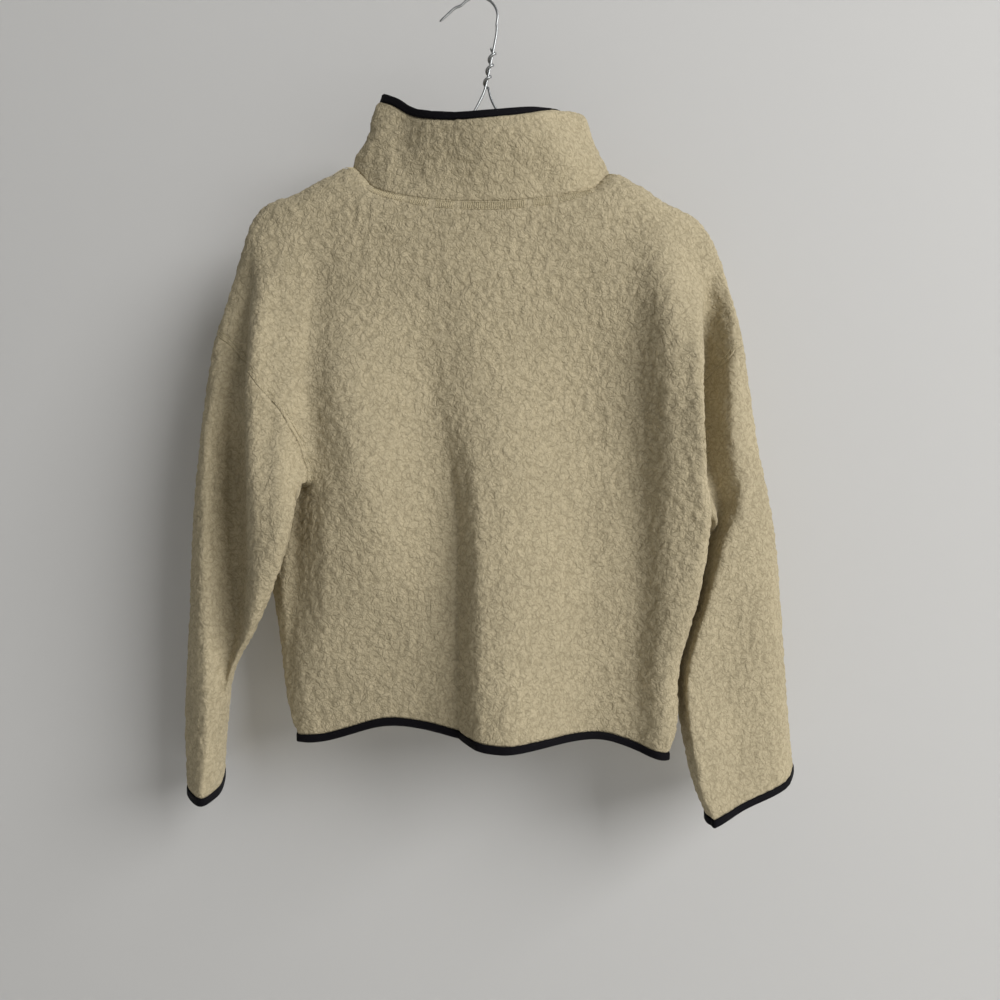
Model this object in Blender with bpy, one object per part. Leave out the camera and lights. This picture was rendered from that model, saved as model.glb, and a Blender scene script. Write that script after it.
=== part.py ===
"""Sherpa fleece pullover with a stand collar, hung by its shoulders on a wire hanger.

Lengths are in millimetres up to the last step, where each mesh is written in metres.
+Z is up, the back of the garment faces -Y, and X runs along the shoulders. The origin is
where the hanger's hook bears on what holds it. "Left" is the -X side.

The body is two panels. Above the armpits their shape is a depth worked out from the fold
lines of each side, and below them it also turns in at the side seams. Each sleeve is one
tube, read from a ring for each of its sections. Every seam shares its points with the
pieces that it joins, so the walls meet there with a narrow gap.
"""

import math

import bmesh
import bpy
from mathutils import Vector

METRES = 0.001
RIM_ANGLE = math.radians(50)    # edges sharper than this are the rims of the cloth
COLLECTION = "sherpa_fleece_pullover"

# ---------------------------------------------------------------- driving dimensions, mm
WALL = 4.0              # fleece with its pile, and the tape folded round a raw edge
BINDING_HEIGHT = 8.0
SEAM_SETBACK = 0.2      # each piece stops this far short of the seam line
BINDING_SETBACK = 0.3   # and each binding this far
EDGE_ROUND = 22.0       # how far from the outline a panel reaches its full depth
SIDE_ROUND = 15.0       # the same at a side seam below the armpit
SIDE_FADE = 45.0        # below the armpit, the drop over which that round grows to its size
SLANT = 0.85            # below 1, the side that faces the arm swells a little
UNDERARM_RISE = 7.0     # arch of the underarm between the back and the front
FOLD_OVERRUN = 30.0     # a fold that ends above LONG_FOLD still counts this far below its end
LONG_FOLD = -500.0      # folds that reach below this height run on to the hem
COLLAR_LENGTH = 80.0    # seam to edge, measured on the cloth
CURL_RADIUS = 6.5       # where the collar's edge turns in
NECK_X = 8.0            # the collar's edge turns in towards this middle line

# grid of the pieces: how many strips each stretch has
ARMHOLE_ROWS = 12       # along one side of an armhole
SIDE_ROWS = 12          # along a side seam
UNDERARM_COLUMNS = 3    # across the underarm, from back to front
SHOULDER_COLUMNS = 9    # along a shoulder seam
NECK_COLUMNS = 12       # along half of the neckline
ROW_CROWD = 1.35        # rows draw together towards the shoulder, where the cloth turns over
HEM_CROWD = 1.35        # columns of the hem draw together towards the far side
WAIST_CROWD = 1.15      # and those at the armpits' height
UNDERARM_CROWD = 1.3    # columns under the arm draw together towards the side seam
SLEEVE_ROWS = 19
TOP_COLUMNS = 2 * SHOULDER_COLUMNS + NECK_COLUMNS
HEM_COLUMNS = TOP_COLUMNS + UNDERARM_COLUMNS

# ---------------------------------------------------------------- seams of the body
# Shoulder seams and the ends of the armholes, outside in: x, y, z
LEFT_SHOULDER = (
    (-255, 3, -322), (-247, 2, -304), (-239, 1, -276), (-230, 0, -247), (-219, 0, -222),
    (-207, 0, -209), (-192, 0, -201), (-170, 0, -191), (-141, 0, -178), (-118, 0, -170),
)
RIGHT_SHOULDER = (
    (256, 2, -333), (252, 1, -315), (245, 0, -290), (238, 0, -262), (230, 0, -240),
    (219, 0, -226), (200, 0, -214), (180, 0, -205), (155, 0, -189), (127, 0, -175),
)
# Neckline of the back and of the front, left to right: x, y, z
NECK_BACK = (
    (-118, 0, -170), (-113, -8, -180), (-101, -18, -190), (-80, -27, -198), (-40, -34, -207),
    (2, -36, -210), (45, -34, -207), (83, -27, -199), (106, -17, -191), (120, -8, -184),
    (127, 0, -175),
)
NECK_FRONT = (
    (-118, 0, -170), (-114, 9, -182), (-103, 22, -204), (-80, 36, -228), (-42, 45, -246),
    (5, 48, -253), (50, 45, -248), (86, 36, -232), (109, 22, -210), (122, 9, -189),
    (127, 0, -175),
)
# Armholes from the underarm up to the shoulder, x and z; their y is the panel's own
ARMHOLES = {
    ("left", "back"): ((-155, -464), (-163, -428), (-178, -400), (-198, -377), (-213, -358),
                       (-226, -344), (-241, -333), (-255, -322)),
    ("left", "front"): ((-205, -464), (-207, -430), (-211, -400), (-219, -372), (-230, -350),
                        (-242, -335), (-255, -322)),
    ("right", "back"): ((217, -488), (208, -455), (204, -425), (205, -398), (213, -374),
                        (229, -354), (243, -342), (256, -333)),
    ("right", "front"): ((182, -488), (188, -455), (196, -425), (208, -395), (224, -366),
                         (240, -346), (256, -333)),
}
# Side seams from the hem up to the underarm: z, x, y
SIDE_SEAMS = {
    "left": ((-706, -176, -2), (-676, -189, 8), (-629, -196, 15), (-585, -204, 19),
             (-541, -209, 22), (-500, -208, 29), (-464, -205, 36)),
    "right": ((-715, 178, -24), (-687, 191, -20), (-632, 198, -18), (-575, 207, -20),
              (-524, 215, -25), (-488, 217, -36)),
}
# The rounded corner of the body beside the arm, where the side turns into the panel: z, x
CORNERS = {
    "left": ((-706, -160), (-600, -172), (-520, -165), (-464, -155)),
    "right": ((-715, 160), (-640, 172), (-560, 180), (-488, 182)),
}
# Hem, left to right: x, z of the back and of the front
HEM = {
    "back": ((-176, -714), (-150, -712), (-120, -703), (-95, -695), (-79, -693), (-40, -697),
             (-12, -702), (20, -706), (60, -705), (113, -706), (140, -713), (160, -720),
             (178, -723)),
    "front": ((-176, -714), (-120, -704), (-40, -698), (40, -702), (120, -711), (178, -723)),
}

# ---------------------------------------------------------------- folds of the body
# Each fold line of the back, outside in from the left: rows of z, x, y down its length
BACK_FOLDS = {
    "left sleeve crest": ((-230, -216, -12), (-300, -228, -15), (-370, -246, -18),
                          (-445, -255, -22)),
    "left sleeve groove": ((-230, -206, -14), (-300, -217, -12), (-370, -229, -3),
                           (-445, -234, 4)),
    "left arm ridge": ((-230, -182, -24), (-300, -194, -38), (-370, -192, -52),
                       (-445, -188, -62), (-464, -188, -62)),
    "left arm valley": ((-230, -150, -23), (-300, -148, -27), (-370, -150, -39),
                        (-464, -145, -39), (-520, -150, -36), (-600, -160, -24),
                        (-705, -150, -10)),
    "left swell": ((-230, -124, -26), (-300, -123, -31), (-370, -122, -46), (-445, -109, -52),
                   (-520, -99, -43), (-600, -112, -27), (-705, -121, -14)),
    "middle valley": ((-230, -50, -35), (-300, -45, -31), (-370, -49, -26), (-445, -43, -29),
                      (-520, -38, -28), (-600, -42, -28), (-705, -45, -26)),
    "middle crest": ((-230, -10, -37), (-300, -6, -33), (-370, -2, -33), (-445, 9, -48),
                     (-520, 11, -53), (-600, 15, -60), (-705, 23, -68)),
    "right valley": ((-230, 92, -31), (-300, 108, -26), (-370, 116, -17), (-445, 118, -18),
                     (-520, 118, -20), (-600, 119, -22), (-705, 113, -20)),
    "right ridge": ((-230, 170, -26), (-300, 183, -42), (-370, 196, -47), (-445, 200, -50),
                    (-520, 202, -44), (-600, 189, -40), (-705, 160, -32)),
    "right sleeve groove": ((-230, 208, -12), (-300, 219, -9), (-370, 226, -5),
                            (-445, 227, -4)),
    "right sleeve crest": ((-230, 217, -12), (-300, 228, -13), (-370, 244, -12),
                           (-445, 250, -16)),
}
# The same for the front, which hangs plainer
FRONT_FOLDS = {
    "left front swell": ((-230, -160, 22), (-320, -160, 38), (-464, -150, 56),
                         (-600, -140, 58), (-705, -130, 50)),
    "left front valley": ((-230, -90, 38), (-320, -82, 44), (-464, -76, 48), (-600, -74, 44),
                          (-705, -72, 36)),
    "middle front swell": ((-230, -10, 50), (-320, -6, 54), (-464, -4, 62), (-600, -8, 66),
                           (-705, -12, 68)),
    "right front valley": ((-230, 92, 38), (-320, 78, 44), (-464, 74, 50), (-600, 72, 47),
                           (-705, 70, 40)),
    "right front swell": ((-230, 165, 22), (-320, 160, 38), (-464, 146, 58), (-600, 140, 60),
                          (-705, 132, 54)),
}
FOLDS = {"back": BACK_FOLDS, "front": FRONT_FOLDS}

# ---------------------------------------------------------------- sections of the sleeves
# Each ring of a sleeve, from the cuff up, has its height at the outer and at the inner edge
# and the x, y of its named corners, in order round the arm from the outer edge.
BACK_PLACES = (0.0, 0.25, 0.5, 0.75)    # columns of the first corners, as shares of ARMHOLE_ROWS
FRONT_PLACES = (0.0, 0.45, 0.8)         # and of the last, from the far side of the underarm
LEFT_SLEEVE_CORNERS = ("outer", "crest", "groove", "ridge", "inner", "underarm",
                       "front_mid", "front_outer")
LEFT_SLEEVE = (
    {"z": (-762, -762), "outer": (-288, 17), "crest": (-261, -20), "groove": (-254, -2),
     "ridge": (-254, 16), "inner": (-259, 38), "underarm": (-268, 66),
     "front_mid": (-280, 86), "front_outer": (-289, 56)},
    {"z": (-705, -705), "outer": (-290, 15), "crest": (-257, -21), "groove": (-247, -6),
     "ridge": (-246, 10), "inner": (-252, 30), "underarm": (-262, 54),
     "front_mid": (-275, 74), "front_outer": (-288, 50)},
    {"z": (-650, -650), "outer": (-287, 13), "crest": (-256, -22), "groove": (-243, -6),
     "ridge": (-237, -8), "inner": (-238, 8), "underarm": (-250, 36),
     "front_mid": (-266, 60), "front_outer": (-284, 42)},
    {"z": (-600, -600), "outer": (-284, 12), "crest": (-256, -22), "groove": (-234, 6),
     "ridge": (-212, -33), "inner": (-205, -22), "underarm": (-230, 17),
     "front_mid": (-252, 46), "front_outer": (-278, 38)},
    {"z": (-520, -520), "outer": (-280, 10), "crest": (-255, -24), "groove": (-233, 8),
     "ridge": (-191, -57), "inner": (-168, -48), "underarm": (-220, 8),
     "front_mid": (-248, 36), "front_outer": (-271, 30)},
    {"z": (-420, -486), "outer": (-270, 7), "crest": (-253, -22), "groove": (-234, 6),
     "ridge": (-189, -62), "inner": (-160, -50), "underarm": (-213, 19),
     "front_mid": (-234, 40), "front_outer": (-261, 28)},
)
RIGHT_SLEEVE_CORNERS = ("outer", "crest", "flank", "shade", "underarm", "inner",
                        "front_mid", "front_outer")
RIGHT_SLEEVE = (
    {"z": (-749, -775), "outer": (317, 37), "crest": (225, -32), "flank": (215, -29),
     "shade": (212, -20), "underarm": (215, -6), "inner": (224, 7),
     "front_mid": (266, 34), "front_outer": (302, 49)},
    {"z": (-718, -742), "outer": (312, 34), "crest": (212, -31), "flank": (201, -24),
     "shade": (200, -13), "underarm": (203, 3), "inner": (211, 16),
     "front_mid": (254, 41), "front_outer": (294, 51)},
    {"z": (-675, -700), "outer": (307, 28), "crest": (206, -28), "flank": (199, -19),
     "shade": (197, -5), "underarm": (197, 10), "inner": (202, 25),
     "front_mid": (242, 46), "front_outer": (284, 50)},
    {"z": (-592, -608), "outer": (298, 18), "crest": (215, -27), "flank": (208, -16),
     "shade": (206, 2), "underarm": (203, 21), "inner": (200, 40),
     "front_mid": (234, 54), "front_outer": (274, 46)},
    {"z": (-516, -526), "outer": (289, 10), "crest": (232, -27), "flank": (224, -14),
     "shade": (220, 2), "underarm": (214, 20), "inner": (193, 52),
     "front_mid": (226, 60), "front_outer": (264, 42)},
    {"z": (-420, -505), "outer": (268, 4), "crest": (250, -16), "flank": (234, -6),
     "shade": (225, -10), "underarm": (221, -20), "inner": (188, 49),
     "front_mid": (218, 54), "front_outer": (250, 34)},
)

# ---------------------------------------------------------------- collar
# Its upper edge, or the fold where it turns in, starting at the left and going round by the
# back: position round the neck, x, y, z, and the length of cloth that is turned in.
COLLAR_TOP = (
    (0.00, -89, 0, -91, 0), (0.06, -76, -20, -104, 0), (0.14, -54, -36, -122, 0),
    (0.25, 0, -46, -132, 0), (0.35, 40, -43, -127, 3), (0.42, 72, -33, -121, 15),
    (0.47, 93, -17, -116, 24), (0.50, 104, 0, -118, 27), (0.54, 99, 20, -129, 22),
    (0.60, 74, 39, -143, 6), (0.66, 46, 48, -155, 0), (0.75, 5, 51, -166, 0),
    (0.87, -48, 43, -150, 0), (0.94, -76, 24, -115, 0), (1.00, -89, 0, -91, 0),
)
COLLAR_STATIONS = (0, 15, 30, 44, 54, 60, 66, 72)   # distance up the cloth of each ring
BINDING_STATIONS = (COLLAR_STATIONS[-1], 76, COLLAR_LENGTH)
COLLAR_LEAN = 1.35                                  # above 1, it draws in low down

# ---------------------------------------------------------------- hanger
WIRE_RADIUS = 1.25
HOOK_RADIUS = 19.0          # to the middle of the wire
HOOK_X = -1.0               # centre of the hook's bend
HOOK_START = 150.0          # degrees round the bend where the tip's straight part ends
HOOK_STEP = 17.5
HOOK_STEPS = 10
SEAT_GAP = 1.1              # from the wire up to the seam; the cloth each side is closer
NECK_CLEARANCE = 0.8        # more of it where the wire passes under the collar's seam
FRAME_LEFT, FRAME_RIGHT = (-206.0, -227.0), (217.0, -243.0)     # x, z of the frame's ends
FRAME_BEND = ((0.0, 4.0), (2.0, -1.0), (7.0, -4.0), (14.0, -4.5))  # inwards and up from there
TWIST_TOP = -48.0
TWIST_FOOT = -90.0
TWIST_START = 3.0           # the coil begins this far above its foot
TWIST_TURNS = 3.5
TWIST_POINTS = 10           # points on each turn
TWIST_GAP = 0.35            # between the coil and the shank
# Bends of the wire between those parts, in order along it: x, z
HOOK_TIP = ((-38.0, -23.0), (-29.0, -15.0), (-22.5, -8.5))
SHANK = ((17.6, -30.0), (14.5, -46.0), (10.5, -66.0), (5.6, TWIST_FOOT))
NECK_LEFT = ((0.5, -99.0), (-5.5, -112.0), (-18.0, -121.0), (-60.0, -141.0))
NECK_RIGHT = ((72.0, -147.0), (24.0, -119.0), (14.2, -104.0), (10.5, -95.0))


# ================================================================ curves through tables
def slopes(keys, values):
    """Slope at each row, chosen so that a curve through the rows never overshoots one."""
    steps = [(values[i + 1] - values[i]) / (keys[i + 1] - keys[i]) for i in range(len(keys) - 1)]
    found = [steps[0]]
    for before, after in zip(steps, steps[1:]):
        found.append(0.0 if before * after <= 0 else 2 * before * after / (before + after))
    return found + [steps[-1]]


def curve(keys, values, at):
    """Value at a key on the smooth curve through the rows, held constant past its ends."""
    if at <= keys[0]:
        return values[0]
    if at >= keys[-1]:
        return values[-1]
    tangents = slopes(keys, values)
    row = max(i for i in range(len(keys) - 1) if keys[i] <= at)
    span = keys[row + 1] - keys[row]
    t = (at - keys[row]) / span
    return ((1 + 2 * t) * (1 - t) ** 2 * values[row] + t * (1 - t) ** 2 * span * tangents[row]
            + t * t * (3 - 2 * t) * values[row + 1] - t * t * (1 - t) * span * tangents[row + 1])


def column(rows, key_column, value_column, at):
    """Value of one column of a table at a key of another, whichever way its rows run."""
    ordered = sorted(rows, key=lambda row: row[key_column])
    return curve([row[key_column] for row in ordered], [row[value_column] for row in ordered], at)


def spread(points, count, crowd=1.0):
    """Points spaced along the smooth line through the given ones, ends included.

    With a crowd above 1 they draw together towards the end of the line.
    """
    points = [Vector(point) for point in points]
    reach = [0.0]
    for before, after in zip(points, points[1:]):
        reach.append(reach[-1] + (after - before).length)
    size = len(points[0])
    lines = [[point[axis] for point in points] for axis in range(size)]
    places = [reach[-1] * (1 - (1 - i / count) ** crowd) for i in range(count + 1)]
    return [Vector([curve(reach, line, place) for line in lines]) for place in places]


def ease(t):
    """From 0 to 1 with level ends."""
    t = min(max(t, 0.0), 1.0)
    return t * t * (3 - 2 * t)


def bulge(t):
    """A quarter round from 0 to 1: steep at first and level at the end."""
    t = min(max(t, 0.0), 1.0)
    return math.sqrt(1 - (1 - t) ** 2)


# ================================================================ depth of the body
def outline(side):
    """Line where the back and the front meet, down the sleeves' outer edges too."""
    neck = NECK_BACK if side == "back" else NECK_FRONT
    left = [(*ring["outer"], ring["z"][0]) for ring in LEFT_SLEEVE]
    right = [(*ring["outer"], ring["z"][0]) for ring in RIGHT_SLEEVE]
    points = left + list(LEFT_SHOULDER) + list(neck[1:-1])
    points += list(reversed(RIGHT_SHOULDER)) + list(reversed(right))
    return [Vector(point) for point in points]


OUTLINES = {side: outline(side) for side in ("back", "front")}


def nearest_on_outline(side, x, z):
    """Distance to the outline seen from the front, and the outline's y there."""
    here = Vector((x, z))
    best = (math.inf, 0.0)
    for start, end in zip(OUTLINES[side], OUTLINES[side][1:]):
        low, high = Vector((start.x, start.z)), Vector((end.x, end.z))
        along = high - low
        t = min(max((here - low).dot(along) / along.length_squared, 0.0), 1.0)
        best = min(best, ((here - low - along * t).length, start.y + (end.y - start.y) * t))
    return best


def depth(side, x, z):
    """y of the outer face of a body panel at a place seen from the front."""
    folds = FOLDS[side].values()
    lines = sorted((column(rows, 0, 1, z), column(rows, 0, 2, z)) for rows in folds
                   if z > rows[-1][0] - FOLD_OVERRUN or rows[-1][0] < LONG_FOLD)
    full = curve([line[0] for line in lines], [line[1] for line in lines], x)
    distance, rim = nearest_on_outline(side, x, z)
    full = rim + (full - rim) * bulge(distance / EDGE_ROUND)
    for hand, sign in (("left", 1), ("right", -1)):
        seam = SIDE_SEAMS[hand]
        top = seam[-1][0]
        if z >= top:
            continue
        seam_x, seam_y = column(seam, 0, 1, z), column(seam, 0, 2, z)
        slanted = (hand, side) in (("left", "back"), ("right", "front"))
        if slanted:
            reach = abs(column(CORNERS[hand], 0, 1, z) - seam_x)
        else:
            reach = SIDE_ROUND * ease((top - z) / SIDE_FADE)
        inside = (x - seam_x) * sign
        if inside < reach:
            t = inside / max(reach, 0.01)
            full = seam_y + (full - seam_y) * (max(t, 0.0) ** SLANT if slanted else bulge(t))
    return full


def armhole(hand, side):
    """Points of one side of an armhole, from the underarm to the shoulder."""
    flat = spread(ARMHOLES[hand, side], ARMHOLE_ROWS, ROW_CROWD)
    points = [Vector((p[0], depth(side, p[0], p[1]), p[1])) for p in flat]
    points[-1] = Vector((LEFT_SHOULDER if hand == "left" else RIGHT_SHOULDER)[0])
    return points


# ================================================================ body panels
def four_sided(bottom, top, left, right, i, j, crowd=1.0):
    """Point of the sheet between four lines of points, in x and z."""
    u, v = i / (len(bottom) - 1), 1 - (1 - j / (len(left) - 1)) ** crowd
    across = bottom[i] * (1 - v) + top[i] * v
    up = left[j] * (1 - u) + right[j] * u
    corners = ((bottom[0] * (1 - u) + bottom[-1] * u) * (1 - v)
               + (top[0] * (1 - u) + top[-1] * u) * v)
    return across + up - corners


def underarm(hand):
    """Points across the underarm, from the armhole's back to its front."""
    start, end = armhole(hand, "back")[0], armhole(hand, "front")[0]
    seam_y = SIDE_SEAMS[hand][-1][2]
    side = "front" if hand == "left" else "back"
    (end if side == "front" else start).y = seam_y
    count = UNDERARM_COLUMNS
    arch = [UNDERARM_RISE * math.sin(math.pi * i / count) for i in range(count + 1)]
    return [start.lerp(end, i / count) + Vector((0, 0, arch[i])) for i in range(count + 1)]


def panel_points(side):
    """Grid of a panel as {(column, row): point}, with no points beside the armholes."""
    lead = UNDERARM_COLUMNS if side == "back" else 0        # underarm columns at the left
    hem_z = HEM[side]
    low_left, low_right = SIDE_SEAMS["left"][0], SIDE_SEAMS["right"][0]
    grid = {}

    # below the armpits
    hem = []
    for i in range(HEM_COLUMNS + 1):
        if side == "back":
            if i < lead:
                corner = column(CORNERS["left"], 0, 1, low_left[0])
                x = low_left[1] + (corner - low_left[1]) * (i / lead) ** UNDERARM_CROWD
            else:
                t = (i - lead) / TOP_COLUMNS
                start = column(CORNERS["left"], 0, 1, low_left[0])
                x = start + (low_right[1] - start) * (1 - (1 - t) ** HEM_CROWD)
        else:
            end = column(CORNERS["right"], 0, 1, low_right[0])
            if i > TOP_COLUMNS:
                t = (HEM_COLUMNS - i) / UNDERARM_COLUMNS
                x = low_right[1] + (end - low_right[1]) * t ** UNDERARM_CROWD
            else:
                t = i / TOP_COLUMNS
                x = low_left[1] + (end - low_left[1]) * t ** HEM_CROWD
        hem.append(Vector((x, column(hem_z, 0, 1, x) + BINDING_HEIGHT)))
    seams = {}
    for hand in ("left", "right"):
        rows = [Vector((row[1], row[0])) for row in SIDE_SEAMS[hand]]
        rows[0] = hem[0] if hand == "left" else hem[-1]
        seams[hand] = spread(rows, SIDE_ROWS)
    waist = []                      # the row at the armpits' height
    cross = {hand: [Vector((p.x, p.z)) for p in underarm(hand)] for hand in seams}
    if side == "back":
        waist += list(reversed(cross["left"]))[:-1]
        inner = (cross["left"][0], cross["right"][0])
    else:
        inner = (cross["left"][-1], cross["right"][-1])
    for i in range(TOP_COLUMNS + 1):
        t = i / TOP_COLUMNS
        t = 1 - (1 - t) ** WAIST_CROWD if side == "back" else t ** WAIST_CROWD
        waist.append(inner[0].lerp(inner[1], t))
    if side == "front":
        waist += list(reversed(cross["right"]))[1:]
    for i in range(HEM_COLUMNS + 1):
        for j in range(SIDE_ROWS + 1):
            grid[i, j] = four_sided(hem, waist, seams["left"], seams["right"], i, j)

    # above them
    neck = spread(NECK_BACK if side == "back" else NECK_FRONT, NECK_COLUMNS)
    shoulders = (spread(LEFT_SHOULDER, SHOULDER_COLUMNS),
                 spread(tuple(reversed(RIGHT_SHOULDER)), SHOULDER_COLUMNS))
    top = shoulders[0][:-1] + neck + shoulders[1][1:]
    holes = {hand: armhole(hand, side) for hand in seams}
    lines = [[Vector((p.x, p.z)) for p in line] for line in
             (top, holes["left"], holes["right"])]
    start = waist[lead:lead + TOP_COLUMNS + 1]
    lines[1][0], lines[2][0] = start[0], start[-1]
    for i in range(TOP_COLUMNS + 1):
        for j in range(1, ARMHOLE_ROWS + 1):
            grid[i + lead, j + SIDE_ROWS] = four_sided(start, *lines, i, j, ROW_CROWD)

    solid = {}
    for (i, j), place in grid.items():
        solid[i, j] = Vector((place[0], depth(side, place[0], place[1]), place[1]))
    # the edges that other pieces share are set to the shared points themselves
    for i, point in enumerate(top):
        solid[i + lead, SIDE_ROWS + ARMHOLE_ROWS] = point.copy()
    for j in range(1, ARMHOLE_ROWS + 1):
        solid[lead, SIDE_ROWS + j] = holes["left"][j].copy()
        solid[lead + TOP_COLUMNS, SIDE_ROWS + j] = holes["right"][j].copy()
    for j in range(SIDE_ROWS + 1):
        for i, hand in ((0, "left"), (HEM_COLUMNS, "right")):
            z = seams[hand][j][1]
            solid[i, j].y = column(SIDE_SEAMS[hand], 0, 2, z)
    arms = {hand: underarm(hand) for hand in seams}
    if side == "back":
        for i, point in enumerate(reversed(arms["left"])):
            solid[i, SIDE_ROWS] = point
        solid[HEM_COLUMNS, SIDE_ROWS] = arms["right"][0]
    else:
        for i, point in enumerate(reversed(arms["right"])):
            solid[TOP_COLUMNS + i, SIDE_ROWS] = point
        solid[0, SIDE_ROWS] = arms["left"][-1]
    return solid


# ================================================================ sleeves
def ring_at(corners, ring):
    """Named corners of a sleeve's ring as points, its height running from outer to inner."""
    outer, inner = ring["outer"][0], ring[corners[4]][0]
    points = []
    for name in corners:
        x, y = ring[name]
        t = min(max((x - outer) / (inner - outer), 0.0), 1.0)
        points.append(Vector((x, y, ring["z"][0] + (ring["z"][1] - ring["z"][0]) * t)))
    return points


def round_ring(points, knots, count):
    """Closed smooth line through corners that sit at the given columns."""
    wrapped = points[-2:] + points + points[:3]
    places = [k - count for k in knots[-2:]] + knots + [k + count for k in knots[:3]]
    found = []
    for i in range(count):
        row = max(k for k in range(len(places) - 1) if places[k] <= i)
        span = places[row + 1] - places[row]
        t = (i - places[row]) / span
        before = (wrapped[row + 1] - wrapped[row - 1]) / (places[row + 1] - places[row - 1])
        after = (wrapped[row + 2] - wrapped[row]) / (places[row + 2] - places[row])
        found.append(wrapped[row] * ((1 + 2 * t) * (1 - t) ** 2) + before * (t * (1 - t) ** 2 * span)
                     + wrapped[row + 1] * (t * t * (3 - 2 * t)) - after * (t * t * (1 - t) * span))
    return found


def sleeve_points(hand):
    """Grid of a sleeve as {(column, row): point}; its columns go right round the arm."""
    count = 2 * ARMHOLE_ROWS + UNDERARM_COLUMNS
    rings, corners = ((LEFT_SLEEVE, LEFT_SLEEVE_CORNERS) if hand == "left"
                      else (RIGHT_SLEEVE, RIGHT_SLEEVE_CORNERS))
    past = ARMHOLE_ROWS + UNDERARM_COLUMNS
    knots = [place * ARMHOLE_ROWS for place in BACK_PLACES] + [ARMHOLE_ROWS]
    knots += [past + place * ARMHOLE_ROWS for place in FRONT_PLACES]
    rows = [round_ring(ring_at(corners, ring), knots, count) for ring in rings]
    back, front = armhole(hand, "back"), armhole(hand, "front")
    loop = list(reversed(back))[:-1] + underarm(hand) + front[1:-1]
    rows.append(loop)
    grid = {}
    for i in range(count):
        line = [row[i] for row in rows]
        for j, point in enumerate(spread(line, SLEEVE_ROWS)):
            grid[i, j] = point
    for j in range(SLEEVE_ROWS + 1):
        grid[count, j] = grid[0, j].copy()
    return grid


# ================================================================ collar and bindings
def neck_loop(panels):
    """Points of the neckline, from its left end round by the back, one for each column."""
    top = SIDE_ROWS + ARMHOLE_ROWS
    back = [panels["back"][UNDERARM_COLUMNS + SHOULDER_COLUMNS + i, top]
            for i in range(NECK_COLUMNS + 1)]
    front = [panels["front"][SHOULDER_COLUMNS + i, top] for i in range(NECK_COLUMNS + 1)]
    return [point.copy() for point in back + list(reversed(front))[1:-1]]


def collar_column(foot, place, stations):
    """Points up one column of the collar, turned in at the top by the length in the table."""
    keys = [row[0] for row in COLLAR_TOP]
    x, y, z, turned = (curve(keys, [row[k] for row in COLLAR_TOP], place) for k in (1, 2, 3, 4))
    head = Vector((x, y, z))
    angle = min(turned / CURL_RADIUS, math.pi)
    head.z -= CURL_RADIUS * math.sin(min(angle, math.pi / 2))
    inward = Vector((NECK_X - x, -y, 0)).normalized()
    straight = COLLAR_LENGTH - turned
    points = []
    for length in stations:
        t = min(length / straight, 1.0)
        lean = 1 - (1 - t) ** COLLAR_LEAN
        point = Vector((foot.x + (head.x - foot.x) * lean, foot.y + (head.y - foot.y) * lean,
                        foot.z + (head.z - foot.z) * t))
        past = max(length - straight, 0.0)
        bend = min(past / CURL_RADIUS, math.pi)
        point += inward * (CURL_RADIUS * (1 - math.cos(bend)))
        point.z += CURL_RADIUS * math.sin(bend) - max(past - CURL_RADIUS * math.pi, 0.0)
        points.append(point)
    return points


def collar_points(loop, stations):
    """Grid of the collar, or of its binding, over the given distances up the cloth."""
    count = len(loop)
    grid = {}
    for i in range(count + 1):
        column_points = collar_column(loop[i % count], (i % count) / count, stations)
        for j, point in enumerate(column_points):
            grid[i, j] = point
    return grid


def strip_below(edge):
    """Grid of a binding that carries a closed edge on down by its height."""
    grid = {}
    for i, point in enumerate(list(edge) + [edge[0]]):
        grid[i, 0] = point - Vector((0, 0, BINDING_HEIGHT))
        grid[i, 1] = point.copy()
    return grid


# ================================================================ meshes
def sheet_mesh(grid, flip):
    """Outer face of a piece as a bmesh, from its grid of points."""
    columns = max(key[0] for key in grid)
    rows = max(key[1] for key in grid)
    sheet = bmesh.new()
    bmesh.ops.create_grid(sheet, x_segments=columns, y_segments=rows, size=0.5)
    spare = []
    for vertex in sheet.verts:
        key = (round((vertex.co.x + 0.5) * columns), round((vertex.co.y + 0.5) * rows))
        if key in grid:
            vertex.co = grid[key]
        else:
            spare.append(vertex)
    bmesh.ops.delete(sheet, geom=spare, context="VERTS")
    bmesh.ops.remove_doubles(sheet, verts=sheet.verts[:], dist=0.01)
    if flip:
        bmesh.ops.reverse_faces(sheet, faces=sheet.faces[:])
    sheet.normal_update()
    return sheet


def place_key(point):
    """Key by which points of different pieces are recognised as one."""
    return tuple(round(value * 20) for value in point)


def shared_normals(sheets):
    """Outward direction at each point, averaged over every piece that meets there."""
    total = {}
    for sheet in sheets.values():
        for face in sheet.faces:
            weight = face.calc_area()
            for vertex in face.verts:
                key = place_key(vertex.co)
                total[key] = total.get(key, Vector()) + face.normal * weight
    return {key: value.normalized() for key, value in total.items()}


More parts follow.
